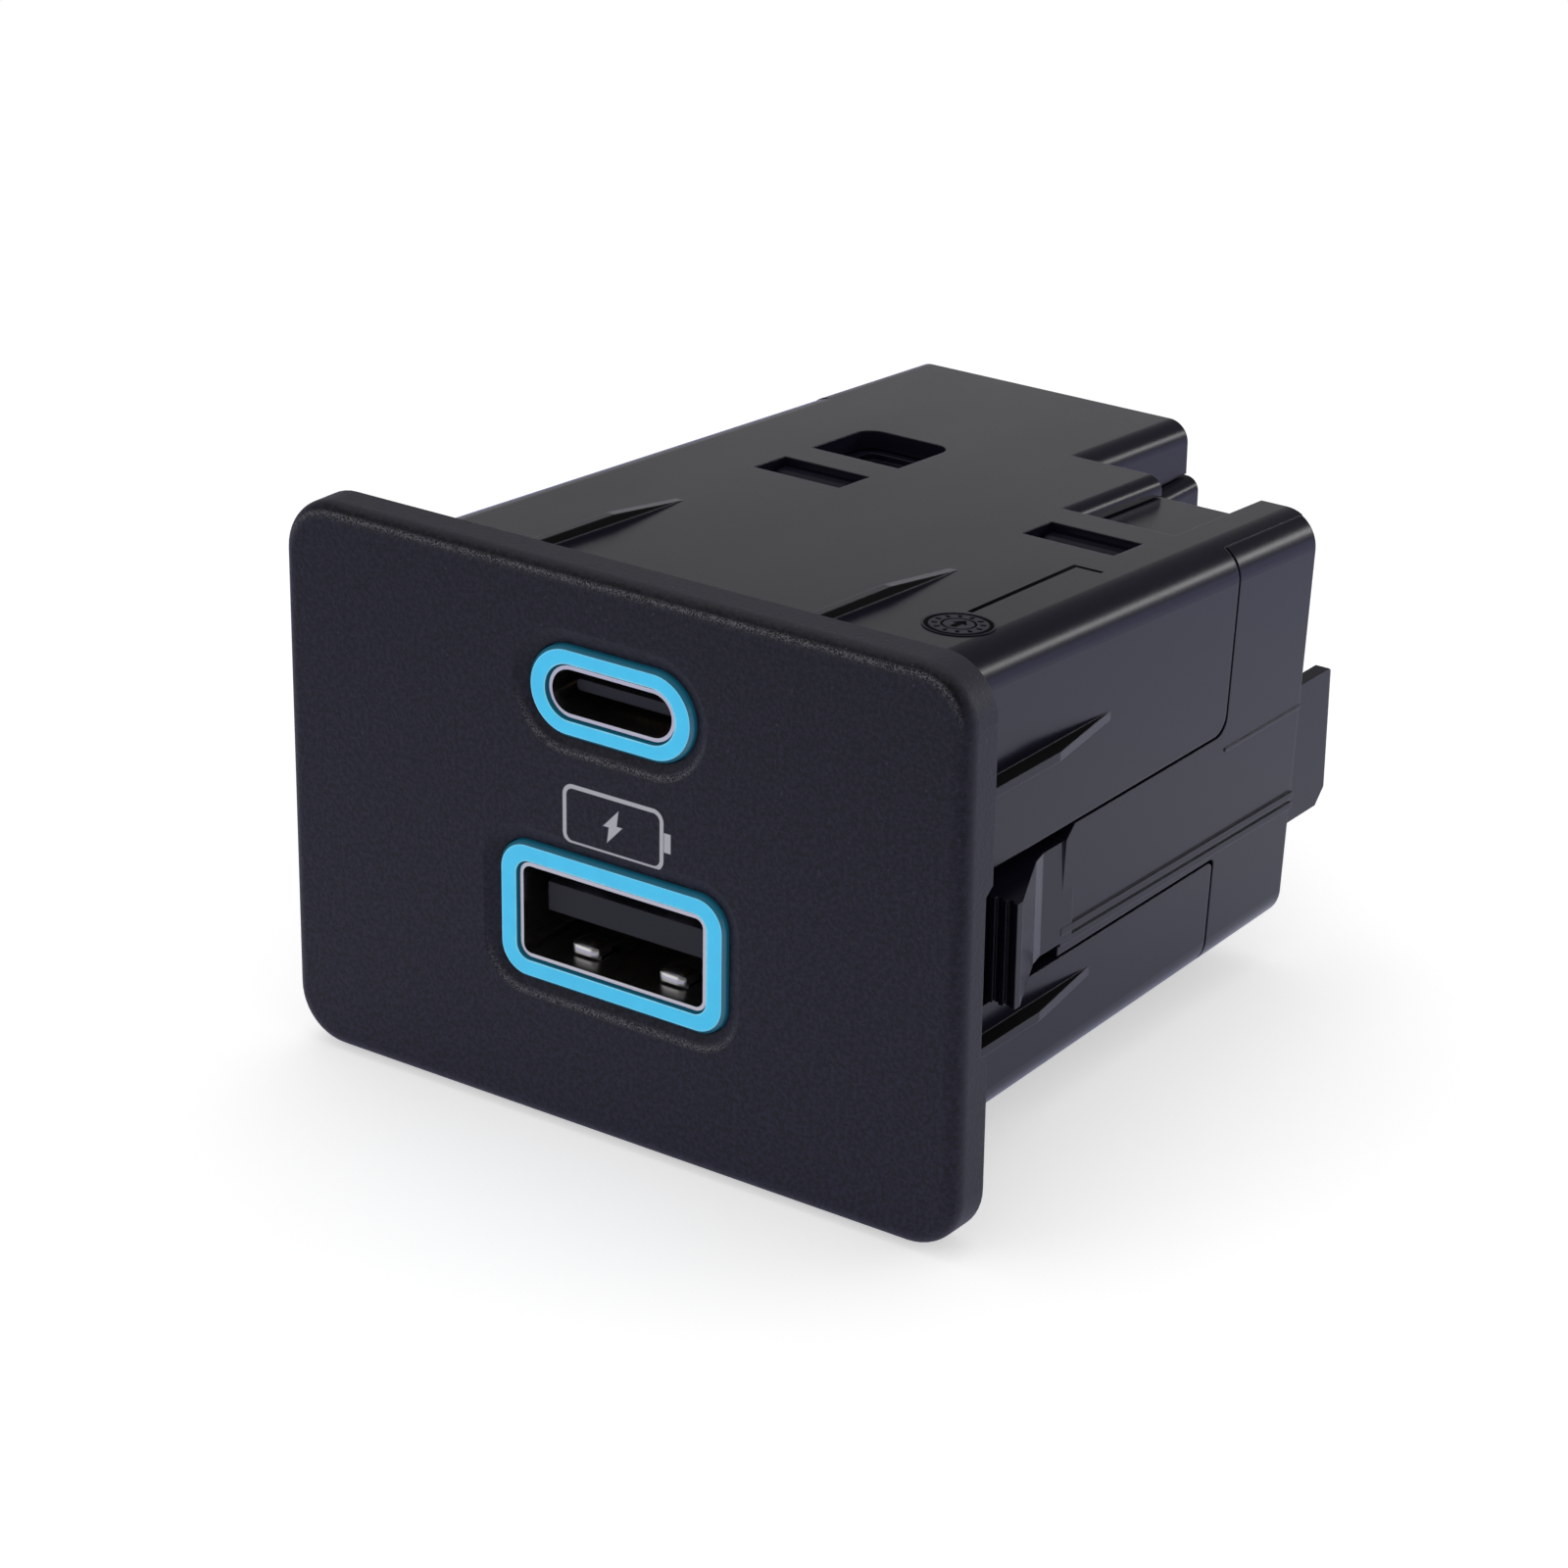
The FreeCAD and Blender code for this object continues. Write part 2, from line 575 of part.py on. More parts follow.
# Rings and the openings that hold them
ring_c_half, ring_c_high = "ring_c_w / 2", "ring_c_tall / 2"
ring_a_half, ring_a_high = "ring_a_w / 2", "ring_a_tall / 2"
bore_c_half, bore_c_high = "c_w / 2 + ring_gap", "c_tall / 2 + ring_gap"
bore_a_half, bore_a_high = "a_w / 2 + ring_gap", "a_tall / 2 + ring_gap"
flange_front = "-plate_thick + face_wall"
flange_rear = plus(flange_front, "flange_thick")
# Inner edge of the light guide legs, the same for the lamps behind them
leg_c, leg_a = "(ring_c_w + c_w) / 4", "(ring_a_w + a_w) / 4"
ring_level = number(ring_front)


def ease_front(bar):
    """Chamfers the outer front edge of a ring."""
    dress(bar, "Chamfer", "Size", "ring_edge",
          lambda a, b: same(a.y, ring_level) and same(b.y, ring_level))
    return bar


def guide_legs(name, z, middle):
    """Two light guide legs that run back from a ring's flange to its lamps."""
    return both(box(name, "port_x + %s - ring_leg_w / 2" % middle, "port_x + %s + ring_leg_w / 2" % middle,
                    flange_rear + " - flange_thick / 2", "ring_rear", z + " - ring_leg_tall / 2",
                    z + " + ring_leg_tall / 2"))


tube_c = stadium_bar("RingUpperTube", "port_x", "c_z", ring_c_half, ring_c_high, ring_front, flange_rear)
flange_c = stadium_bar("RingUpperFlange", "port_x", "c_z", plus(ring_c_half, "flange_reach"),
                       plus(ring_c_high, "flange_reach"), flange_front, flange_rear)
bore_c = stadium_bar("RingUpperBore", "port_x", "c_z", bore_c_half, bore_c_high,
                     plus(ring_front, "-" + PAST), plus(flange_rear, PAST))
hollow_c = cut("RingUpperHollow", fuse("RingUpperBlank", [ease_front(tube_c), flange_c]), [bore_c])
node(fuse("RingUpper", [hollow_c] + guide_legs("GuideUpper", "c_z", leg_c)), "light_ring_upper")
tube_a = rounded_bar("RingLowerTube", "port_x", "a_z", ring_a_half, ring_a_high, "ring_a_corner",
                     ring_front, flange_rear)
flange_a = rounded_bar("RingLowerFlange", "port_x", "a_z", plus(ring_a_half, "flange_reach"),
                       plus(ring_a_high, "flange_reach"), plus("ring_a_corner", "flange_reach"),
                       flange_front, flange_rear)
bore_a = rounded_bar("RingLowerBore", "port_x", "a_z", bore_a_half, bore_a_high,
                     plus("a_corner", "ring_gap"), plus(ring_front, "-" + PAST), plus(flange_rear, PAST))
hollow_a = cut("RingLowerHollow", fuse("RingLowerBlank", [ease_front(tube_a), flange_a]), [bore_a])
node(fuse("RingLower", [hollow_a] + guide_legs("GuideLower", "a_z", leg_a)), "light_ring_lower")

hole_c = stadium_bar("PlateHoleUpper", "port_x", "c_z", plus(ring_c_half, "ring_clear"),
                     plus(ring_c_high, "ring_clear"), plus(plate_face, "-" + PAST), PAST)
hole_a = rounded_bar("PlateHoleLower", "port_x", "a_z", plus(ring_a_half, "ring_clear"),
                     plus(ring_a_high, "ring_clear"), plus("ring_a_corner", "ring_clear"),
                     plus(plate_face, "-" + PAST), PAST)


def slope_recess(bar):
    """Slopes the inner end of a bar, so that it cuts a shallow funnel round the ring."""
    inner = number("-plate_thick + recess_deep")
    slope = dress(bar, "Chamfer", "Size", "recess_deep",
                  lambda a, b: same(a.y, inner) and same(b.y, inner))
    slope.ChamferType = "Two distances"
    slope.setExpression("Size2", bound("recess_w - ring_clear / 8"))
    doc.recompute()
    end = [face for face in bar.Shape.Faces
           if same(face.BoundBox.YMin, inner) and same(face.BoundBox.YMax, inner)]
    if end[0].BoundBox.XLength > bar.Shape.BoundBox.XLength - number("recess_w"):
        slope.FlipDirection = True
        doc.recompute()


dish_c = stadium_bar("PlateDishUpper", "port_x", "c_z", plus(ring_c_half, "ring_clear", "recess_w"),
                     plus(ring_c_high, "ring_clear", "recess_w"), plus(plate_face, "-" + PAST),
                     "-plate_thick + recess_deep")
slope_recess(dish_c)
dish_a = rounded_bar("PlateDishLower", "port_x", "a_z", plus(ring_a_half, "ring_clear", "recess_w"),
                     plus(ring_a_high, "ring_clear", "recess_w"), plus("ring_a_corner", "recess_w"),
                     plus(plate_face, "-" + PAST), "-plate_thick + recess_deep")
slope_recess(dish_a)

# Sleeve with its skins, skirts, gussets and hood
sleeve = lean_form("Sleeve", "0", "0", "0", "-face_wall / 2", "body_rear", "body_round")
cavity = lean_form("SleeveCavity", "wall", "wall", "wall", flange_front, plus("body_rear", PAST),
                   "body_round - wall")
hood = prism("Hood", "YZ",
             [("body_rear", "hood_lip"), ("hood_rear", "hood_lip"), ("hood_rear", top_at("hood_rear")),
              ("body_rear", top_at("body_rear"))], "hood_left", "hood_right")
dress(hood, "Fillet", "Radius", "hood_round",
      lambda a, b: abs(a.y - b.y) > 1 and min(a.z, b.z) > number("hood_lip") + 1)
hood_cavity = prism("HoodCavity", "YZ",
                    [(plus("body_rear", "-" + PAST), plus("hood_lip", "-" + PAST)),
                     (plus("hood_rear", PAST), plus("hood_lip", "-" + PAST)),
                     (plus("hood_rear", PAST), top_at(plus("hood_rear", PAST), "wall")),
                     (plus("body_rear", "-" + PAST), top_at(plus("body_rear", "-" + PAST), "wall"))],
                    "hood_left + wall", "hood_right - wall")
hood_shell = cut("HoodShell", hood, [hood_cavity])


def top_gusset(name, x):
    return prism(name, "YZ",
                 [("-face_wall / 2", top_at("0", "wall / 2")), ("rib_tip", top_at("rib_tip", "wall / 2")),
                  ("rib_tip", top_at("rib_tip")), ("rib_level", plus(top_at("rib_level"), "rib_tall")),
                  ("-face_wall / 2", plus(top_at("0"), "rib_tall"))],
                 x + " - rib_w / 2", x + " + rib_w / 2")


def side_gusset(name, z):
    skin = side_at(z)
    return prism(name, "XY",
                 [(plus(skin, "-wall / 2"), "-face_wall / 2"),
                  (plus(skin, "rib_side_tall"), "-face_wall / 2"),
                  (plus(skin, "rib_side_tall"), "rib_side_level"), (skin, "rib_side_tip"),
                  (plus(skin, "-wall / 2"), "rib_side_tip")],
                 z + " - rib_w / 2", z + " + rib_w / 2")


gussets = [top_gusset("GussetTopLeft", "rib_x_left"), top_gusset("GussetTopRight", "rib_x_right")]
gussets += both(side_gusset("GussetUpper", "rib_z_upper"))
gussets += both(side_gusset("GussetLower", "rib_z_lower"))

# Everything outside this inner form is open at the side bands
side_core = lean_form("SideCore", "wall", "-wall", "-wall", "-" + FAR, FAR)
opening = prism("BandOpening", "YZ",
                [("0", "skirt_lower"), ("skirt_rear", "skirt_lower"), ("skirt_rear", "-" + FAR),
                 (plus("body_rear", PAST), "-" + FAR), (plus("body_rear", PAST), FAR), ("skirt_rear", FAR),
                 ("skirt_rear", "skirt_upper"), ("0", "skirt_upper")],
                "side_half / 2", "plate_w / 2",
                [("skirt_lower_round", [1]), ("skirt_upper_round", [6])])
side_openings = cut("SideOpenings", group("BandOpenings", both(opening)), [side_core])

windows = [
    box("SlotLeft", "slot_left", "slot_left + slot_w", "slot_front", "slot_front + slot_len", "0", FAR),
    box("SlotRight", "slot_right", "slot_right + slot_w", "slot_front", "slot_front + slot_len", "0", FAR),
    prism("SquareWindow", "XY",
          [("pocket_left", "pocket_front"), ("pocket_left + pocket_w", "pocket_front"),
           ("pocket_left + pocket_w", "pocket_front + pocket_len"),
           ("pocket_left", "pocket_front + pocket_len")],
          "0", FAR, [("pocket_round", [2, 3])]),
    box("RearNotch", "notch_left", "notch_right", "notch_front", plus("body_rear", PAST), "0", FAR),
    box("BottomEnd", "-plate_w", "plate_w", "bottom_rear", plus("body_rear", PAST), "-" + FAR, "0"),
]
sleeve_walls = cut("SleeveWalls", fuse("SleeveBlank", [sleeve] + gussets), [cavity])
notch_side, notch_end = number("notch_left"), number("notch_front")


def notch_edge(a, b):
    """The cut-out's left edge, where it meets the top skin."""
    skin = [same(point.z, number("%s + top_lean * %.9f" % ("top_level", point.y))) for point in (a, b)]
    return same(a.x, notch_side) and same(b.x, notch_side) and all(skin)


sleeve_open = softened("SleeveSoft", cut("SleeveOpen", sleeve_walls, [side_openings] + windows),
                       "notch_round", notch_edge)

posts = []
stakes = []
for label, height in (("Upper", "post_top"), ("Lower", "post_bottom")):
    posts += both(rod("Post" + label, "post_x", height, "post_r", "-face_wall", "board_front"))
    stakes += both(rod("Stake" + label, "post_x", height, "stake_r", "0", board_rear + " + hole_clear"))

plate_hollow = common("PlateHollow", cavity, box("PlateHollowLimit", "-plate_w", "plate_w",
                                                 flange_front, "0", "-" + FAR, FAR))
plate_open = cut("PlateOpen", plate, both(relief) + [plate_hollow, hole_c, hole_a, dish_c, dish_a])
front_shell = fuse("FrontShell", [plate_open, sleeve_open, hood_shell] + posts + stakes)
node(front_shell, "front_shell")

# Rear housing: tub, flush side bands, snap arms, tabs and connector shroud
tub = lean_form("Tub", tub_inset, tub_inset, tub_inset, "arm_root", tub_rear,
                "body_round - wall - fit_gap")
tub_cavity = lean_form("TubCavity", tub_inner, tub_inner, tub_inner, "arm_root - " + PAST,
                       tub_rear + " - wall")
flush = lean_form("FlushForm", "0", "0", "0", "0", tub_rear, "body_round")
wrap_core = lean_form("WrapCore", "wall - hair_seam", "-wall", "-wall", "-" + FAR, FAR)
wrap = cut("Wrap", flush, [wrap_core])
filler_inset = "body_round + fit_gap"
filler = lean_form("Filler", "0", filler_inset, filler_inset, "arm_root", tub_rear)
band = prism("Band", "YZ",
             [("arm_root", "skirt_lower + seam"), ("skirt_rear + seam", "skirt_lower + seam"),
              ("skirt_rear + seam", "-" + FAR), (tub_rear, "-" + FAR), (tub_rear, FAR),
              ("skirt_rear + seam", FAR), ("skirt_rear + seam", "skirt_upper - seam"),
              ("arm_root + band_ramp", "skirt_upper - seam"),
              ("arm_root", "skirt_upper - seam - band_ramp")],
             side_at(bottom_at("0"), tub_inner), "plate_w / 2",
             [("skirt_lower_round", [1]), ("skirt_upper_round", [6])])
bands = common("Bands", fuse("BandForm", [wrap, filler]), group("BandPair", both(band)))

arm = prism("Arm", "XY",
            [(arm_inner, plus("arm_root", "wall")), (arm_inner, "arm_lock"), (arm_out, "arm_lock"),
             (arm_out, "arm_lock + arm_land"), (plus(arm_flush, "arm_land"), "arm_rise"),
             (arm_flush, "arm_knee"),
             (arm_flush, plus("arm_root", "wall"))],
            "arm_bottom", "arm_top")
serrations = []
for index in range(3):
    right = arm_out + " - %d * serration_pitch" % index
    serrations.append(box("Serration%d" % index, right + " - serration_w", right,
                          "arm_lock - serration_deep", "arm_lock + serration_deep",
                          "arm_bottom", "arm_top"))
tab = prism("Tab", "YZ",
            [(tub_rear + " - wall", "tab_bottom"), ("tab_rear - tab_foot", "tab_bottom"),
             ("tab_rear", "tab_bottom + tab_foot"), ("tab_rear", "tab_top - tab_chamfer"),
             ("tab_rear - tab_chamfer", "tab_top"), (tub_rear + " - wall", "tab_top")],
            side_at("tab_bottom", "tab_thick"), side_at("tab_bottom"))
arms_and_tabs = both(fuse("ArmAndTab", [arm, tab] + serrations))


def bead(name, front, front_z, fall, w, tall):
    """Thin raised line along a side band."""
    rear_z = front_z + " - " + fall
    return prism(name, "YZ",
                 [(front, front_z + " - %s / 2" % w), (tub_rear, rear_z + " - %s / 2" % w),
                  (tub_rear, rear_z + " + %s / 2" % w), (front, front_z + " + %s / 2" % w)],
                 side_at(front_z, "wall / 2"), plus(side_at(rear_z), tall))


beads = []
beads += both(bead("BeadUpper", "arm_root", "crease_upper", "crease_fall", "bead_w", "crease_tall"))
beads += both(bead("BeadLower", "arm_root", "crease_lower", "crease_fall", "bead_w", "crease_tall"))
beads += both(bead("BeadRear", "skirt_rear + seam", "parting_z", "parting_fall", "bead_w / 2",
                   "parting_tall"))


def snap_wedge(name, left):
    """Wedge on the tub's top that fills a snap slot, low in front and high behind."""
    front, rear = "slot_front + seam", "slot_front + slot_len - seam"
    return prism(name, "YZ",
                 [(front, top_at(front, plus(tub_inset, "wall / 2"))),
                  (rear, top_at(rear, plus(tub_inset, "wall / 2"))),
                  (rear, top_at(rear, "wedge_low")), (rear + " - slot_len / 5", top_at(rear, "wedge_low")),
                  (front, top_at(front, tub_inset))],
                 left + " + seam", left + " + slot_w - seam")


wedges = [snap_wedge("WedgeLeft", "slot_left"), snap_wedge("WedgeRight", "slot_right")]
shroud_upper = prism("ShroudUpper", "YZ",
                     [(tub_rear + " - wall", "shroud_step - wall"), ("hood_rear", "shroud_step - wall"),
                      ("hood_rear", top_at("hood_rear", tub_inset)),
                      (tub_rear + " - wall", top_at(tub_rear + " - wall", tub_inset))],
                     "hood_left + wall + fit_gap", "hood_right - wall - fit_gap")
shroud_lower = prism("ShroudLower", "XZ",
                     [("plug_x - shroud_half", "shroud_bottom"), ("plug_x + shroud_half", "shroud_bottom"),
                      ("plug_x + shroud_half", "shroud_step"), ("plug_x - shroud_half", "shroud_step")],
                     tub_rear + " - wall / 2", "hood_rear", [("shroud_round", [2, 3])])
socket = box("Socket", "plug_x - socket_half", "plug_x + socket_half", tub_rear, plus("hood_rear", PAST),
             "socket_bottom", "socket_top")
keys = []
for index, place in enumerate(("-socket_half / 2", "socket_half / 3")):
    keys.append(box("Key%d" % index, "plug_x + %s - key_w / 2" % place, "plug_x + %s + key_w / 2" % place,
                    tub_rear + " - wall / 2", "hood_rear - wall", "socket_bottom - wall / 2",
                    "socket_bottom + key_tall"))
rails = both(box("Rail", board_half + " - rail_w",
                 side_at("main_top", plus("wall", "fit_gap", "wall / 2")), "arm_root",
                 tub_rear + " - wall / 2", "main_top - board_thick - rail_tall",
                 "main_top - board_thick"))

# Wiring pins, bent down into the level board
pin_holes = []
main_pin_holes = []
header_pin_holes = []
pins = []
for place in range(int(number("pin_count"))):
    x = "plug_x + (%d - (pin_count - 1) / 2) * pin_pitch" % place
    for level in (0, 1):
        tag = "%d_%d" % (place, level)
        z = "pin_low + %d * pin_rise" % level
        leg = pin_leg + " - %d * pin_leg_step" % level
        half = "pin_wire / 2"
        below = "main_top - board_thick - leg_below"
        pins.append(prism("Pin" + tag, "YZ",
                          [(leg + " - " + half, below), (leg + " + " + half, below),
                           (leg + " + " + half, z + " - " + half), ("pin_end", z + " - " + half),
                           ("pin_end", z + " + " + half), (leg + " - " + half, z + " + " + half)],
                          x + " - " + half, x + " + " + half))

        def passage(name, clear, near, far):
            return box(name + tag, "%s - %s - %s" % (x, half, clear), "%s + %s + %s" % (x, half, clear),
                       near, far, "%s - %s - %s" % (z, half, clear), "%s + %s + %s" % (z, half, clear))

        pin_holes.append(passage("HousingHole", "hole_clear", tub_rear + " - 2 * wall",
                                 tub_rear + " + wall"))
        header_pin_holes.append(passage("HeaderHole", "slip", pin_leg, tub_rear))
        main_pin_holes.append(box("MainHole" + tag, "%s - %s - hole_clear" % (x, half),
                                  "%s + %s + hole_clear" % (x, half), "%s - %s - hole_clear" % (leg, half),
                                  "%s + %s + hole_clear" % (leg, half), "-" + FAR, "0"))
node(group("RearPins", pins), "rear_pins")

housing_parts = [tub, bands, shroud_upper, shroud_lower] + arms_and_tabs + beads + wedges
housing_blank = fuse("HousingBlank", housing_parts)
pocket = prism("TubPocket", "XY",
               [("pocket_left + pocket_ledge", "pocket_front + pocket_ledge"),
                ("pocket_left + pocket_w - pocket_ledge", "pocket_front + pocket_ledge"),
                ("pocket_left + pocket_w - pocket_ledge", "pocket_front + pocket_len - pocket_ledge"),
                ("pocket_left + pocket_ledge", "pocket_front + pocket_len - pocket_ledge")],
               top_at("pocket_front + pocket_len / 2", plus(tub_inset, "pocket_deep")), FAR,
               [("pocket_round - pocket_ledge", [2, 3])])
housing_open = cut("HousingOpen", housing_blank, [tub_cavity, socket, pocket])
housing_built = fuse("HousingBuilt", [housing_open] + keys + rails)
rear_housing = cut("RearHousing", housing_built, [group("HousingHoles", pin_holes)])
node(rear_housing, "rear_housing")

# Upper port
c_half, c_high = "c_w / 2", "c_tall / 2"
c_in_half, c_in_high = "c_w / 2 - c_sheet", "c_tall / 2 - c_sheet"


def legs(name, x, z, half_tall, sheet_name, clear, near, far):
    """Two legs at the top and two at the bottom edge of a port shell."""
    result = []
    for sign in ("+", "-"):
        middle = "%s %s (%s - %s / 2)" % (z, sign, half_tall, sheet_name)
        for end in ("+", "-"):
            across = "%s %s %s" % (x, end, "shell_leg_x" if sheet_name == "a_sheet" else "shell_leg_x / 2")
            result.append(box("%s%d" % (name, len(result)),
                              "%s - shell_leg_w / 2 - %s" % (across, clear),
                              "%s + shell_leg_w / 2 + %s" % (across, clear), near, far,
                              "%s - %s / 2 - %s" % (middle, sheet_name, clear),
                              "%s + %s / 2 + %s" % (middle, sheet_name, clear)))
    return result


leg_start = "board_front - shell_leg_lap"
leg_end = board_rear + " - hole_clear"
c_outer = stadium_bar("UpperTubeOuter", "port_x", "c_z", c_half, c_high, shell_front, "board_front")
c_tube = cut("UpperTube", c_outer,
             [stadium_bar("UpperTubeInner", "port_x", "c_z", c_in_half, c_in_high,
                          shell_front + " - " + PAST, "board_front + " + PAST)])
node(fuse("UpperShell", [c_tube] + legs("UpperLeg", "port_x", "c_z", c_high, "c_sheet", "0",
                                        leg_start, leg_end)), "usb_c_shell")
c_base = stadium_bar("UpperBase", "port_x", "c_z", c_in_half + " - slip", c_in_high + " - slip",
                     "board_front - base_len", "board_front")
c_tongue = prism("UpperTongueBar", "XZ", rectangle("port_x", "c_z", "c_tongue_w / 2", "c_tongue_thick / 2"),
                 shell_front + " + tongue_inset", "board_front - base_len / 2",
                 [("c_tongue_thick / 3", [0, 1, 2, 3])])
c_contacts = []
c_slots = []
c_row_half = "(5.5 * c_pitch + c_contact_w / 2)"
for sign, tag in (("+", "Top"), ("-", "Low")):
    inner = "c_z %s c_tongue_thick / 2" % sign
    outer = "%s %s c_contact_thick" % (inner, sign)
    low, high = (inner, outer) if sign == "+" else (outer, inner)
    for place in range(12):
        x = "port_x + (%d - 5.5) * c_pitch" % place
        c_contacts.append(box("UpperContact%s%d" % (tag, place), x + " - c_contact_w / 2",
                              x + " + c_contact_w / 2", shell_front + " + tongue_inset + c_contact_start",
                              "tail_rear", low, high))
    c_slots.append(box("UpperSlot" + tag, "port_x - %s - slip" % c_row_half,
                       "port_x + %s + slip" % c_row_half, "0", FAR,
                       low + (" - slip" if sign == "-" else ""), high + (" + slip" if sign == "+" else "")))
node(cut("UpperTongue", fuse("UpperTongueBlank", [c_base, c_tongue]), [group("UpperSlots", c_slots)]),
     "usb_c_tongue")
node(group("UpperContacts", c_contacts), "usb_c_contacts")

# Lower port
a_half, a_high = "a_w / 2", "a_tall / 2"
a_in_half, a_in_high = "a_w / 2 - a_sheet", "a_tall / 2 - a_sheet"
a_tube = cut("LowerTube", rounded_bar("LowerTubeOuter", "port_x", "a_z", a_half, a_high, "a_corner",
                                      shell_front, "board_front"),
             [rounded_bar("LowerTubeInner", "port_x", "a_z", a_in_half, a_in_high, "a_corner - a_sheet",
                          shell_front + " - " + PAST, "board_front + " + PAST)])
spring_slots = []
springs = []
for side in ("-", "+"):
    for sign in ("-", "+"):
        tag = ("Left" if side == "-" else "Right") + ("Low" if sign == "-" else "High")
        x = "port_x %s spring_x" % side
        # Distances from the port's middle towards the wall that the finger belongs to
        flat_out, flat_in = a_high, a_in_high
        below = "a_z - %s - slip" % a_high if sign == "-" else "a_z + %s - slip" % a_in_high
        above = "a_z - (%s - slip)" % a_in_high if sign == "-" else "a_z + %s + slip" % a_high
        spring_slots.append(box("SpringSlot" + tag, x + " - spring_w / 2 - spring_gap",
                                x + " + spring_w / 2 + spring_gap", "spring_tip - spring_gap",
                                "spring_root", below, above))
        profile = [("spring_root + slip", flat_out), ("spring_bump", flat_out + " - spring_rise"),
                   ("spring_tip", flat_out + " - spring_rise / 5"),
                   ("spring_tip", flat_in + " - spring_rise / 5"),
                   ("spring_bump", flat_in + " - spring_rise"), ("spring_root + slip", flat_in)]
        springs.append(prism("Spring" + tag, "YZ",
                             [(y, "a_z %s (%s)" % (sign, reach)) for y, reach in profile],
                             x + " - spring_w / 2", x + " + spring_w / 2"))
a_open = cut("LowerTubeOpen", a_tube, [group("SpringSlots", spring_slots)])
node(fuse("LowerShell", [a_open] + springs + legs("LowerLeg", "port_x", "a_z", a_high, "a_sheet", "0",
                                                   leg_start, leg_end)), "usb_a_shell")
a_base = rounded_bar("LowerBase", "port_x", "a_z", a_in_half + " - slip", a_in_high + " - slip",
                     "a_corner - a_sheet", "board_front - base_len", "board_front")
a_tongue_top = "a_z + a_tongue_low + a_tongue_thick"
a_bar = box("LowerTongueBar", "port_x - a_tongue_w / 2", "port_x + a_tongue_w / 2",
            shell_front + " + tongue_inset", "board_front - base_len / 2", "a_z + a_tongue_low",
            a_tongue_top)
a_contacts = []
a_slots = []
a_rows = (("Far", "- a_contact_outer"), ("Mid", "- a_contact_inner"), ("Near", "+ a_contact_inner"),
          ("End", "+ a_contact_outer"))
for tag, shift in a_rows:
    x = "port_x " + shift
    low, high = "a_z + a_tongue_low - a_contact_thick", "a_z + a_tongue_low"
    a_contacts.append(box("LowerContact" + tag, x + " - a_contact_w / 2", x + " + a_contact_w / 2",
                          shell_front + " + tongue_inset + a_contact_start", "tail_rear", low, high))
    a_slots.append(box("LowerSlot" + tag, x + " - a_contact_w / 2 - slip", x + " + a_contact_w / 2 + slip",
                       "0", FAR, low + " - slip", high))
node(cut("LowerTongue", fuse("LowerTongueBlank", [a_base, a_bar]), [group("LowerSlots", a_slots)]),
     "usb_a_tongue")
node(group("LowerContacts", a_contacts), "usb_a_contacts")

# Stations in front of and behind the upright board, for holes through it
through = ("board_front - " + PAST, board_rear + " + " + PAST)

# Link between the boards
link_pins = []
link_holes = []
link_main_holes = []
link_block_holes = []
for place in range(int(number("link_count"))):
    x = "port_x + (%d - (link_count - 1) / 2) * link_pitch" % place
    half = "link_wire / 2"
    front = "board_front - leg_below"
    below = "main_top - board_thick - leg_below"
    link_pins.append(prism("LinkPin%d" % place, "YZ",
                           [(front, "link_z - " + half), ("link_leg - " + half, "link_z - " + half),
                            ("link_leg - " + half, below), ("link_leg + " + half, below),
                            ("link_leg + " + half, "link_z + " + half), (front, "link_z + " + half)],
                           x + " - " + half, x + " + " + half))

    def link_passage(name, clear, near, far):
        return box("%s%d" % (name, place), "%s - %s - %s" % (x, half, clear),
                   "%s + %s + %s" % (x, half, clear), near, far, "link_z - %s - %s" % (half, clear),
                   "link_z + %s + %s" % (half, clear))

    link_holes.append(link_passage("LinkHole", "hole_clear", *through))
    link_block_holes.append(link_passage("LinkBlockHole", "slip", "board_front", "link_leg"))
    link_main_holes.append(box("LinkMainHole%d" % place, "%s - %s - hole_clear" % (x, half),
                               "%s + %s + hole_clear" % (x, half), "link_leg - %s - hole_clear" % half,
                               "link_leg + %s + hole_clear" % half, "-" + FAR, "0"))
node(group("LinkPins", link_pins), "link_pins")
link_block = box("LinkBlock", "port_x - link_half", "port_x + link_half", board_rear,
                 board_rear + " + link_len", "main_top", "2 * link_z - main_top")
node(cut("LinkHeader", link_block, [group("LinkBlockHoles", link_block_holes)]), "link_header")

# Upright board
front_blank = box("FrontBlank", minus(board_half), board_half, "board_front", board_rear,
                  "board_bottom", "board_top")
stake_holes = []
for label, height in (("Upper", "post_top"), ("Lower", "post_bottom")):
    stake_holes += both(rod("StakeHole" + label, "post_x", height, "stake_r + hole_clear", *through))
leg_holes = legs("UpperLegHole", "port_x", "c_z", c_high, "c_sheet", "hole_clear", *through)
leg_holes += legs("LowerLegHole", "port_x", "a_z", a_high, "a_sheet", "hole_clear", *through)
tail_holes = []
for tag, shift in a_rows:
    x = "port_x " + shift
    tail_holes.append(box("TailHole" + tag, x + " - a_contact_w / 2 - hole_clear",
                          x + " + a_contact_w / 2 + hole_clear", *through,
                          "a_z + a_tongue_low - a_contact_thick - hole_clear",
                          "a_z + a_tongue_low + hole_clear"))
tail_holes.append(box("TailSlotUpper", "port_x - %s - hole_clear" % c_row_half,
                      "port_x + %s + hole_clear" % c_row_half, *through,
                      "c_z - c_tongue_thick / 2 - c_contact_thick - hole_clear",
                      "c_z + c_tongue_thick / 2 + c_contact_thick + hole_clear"))
front_board = cut("FrontBoard", front_blank,
                  [group("FrontHoles", stake_holes + leg_holes + tail_holes + link_holes)])
node(front_board, "front_board")

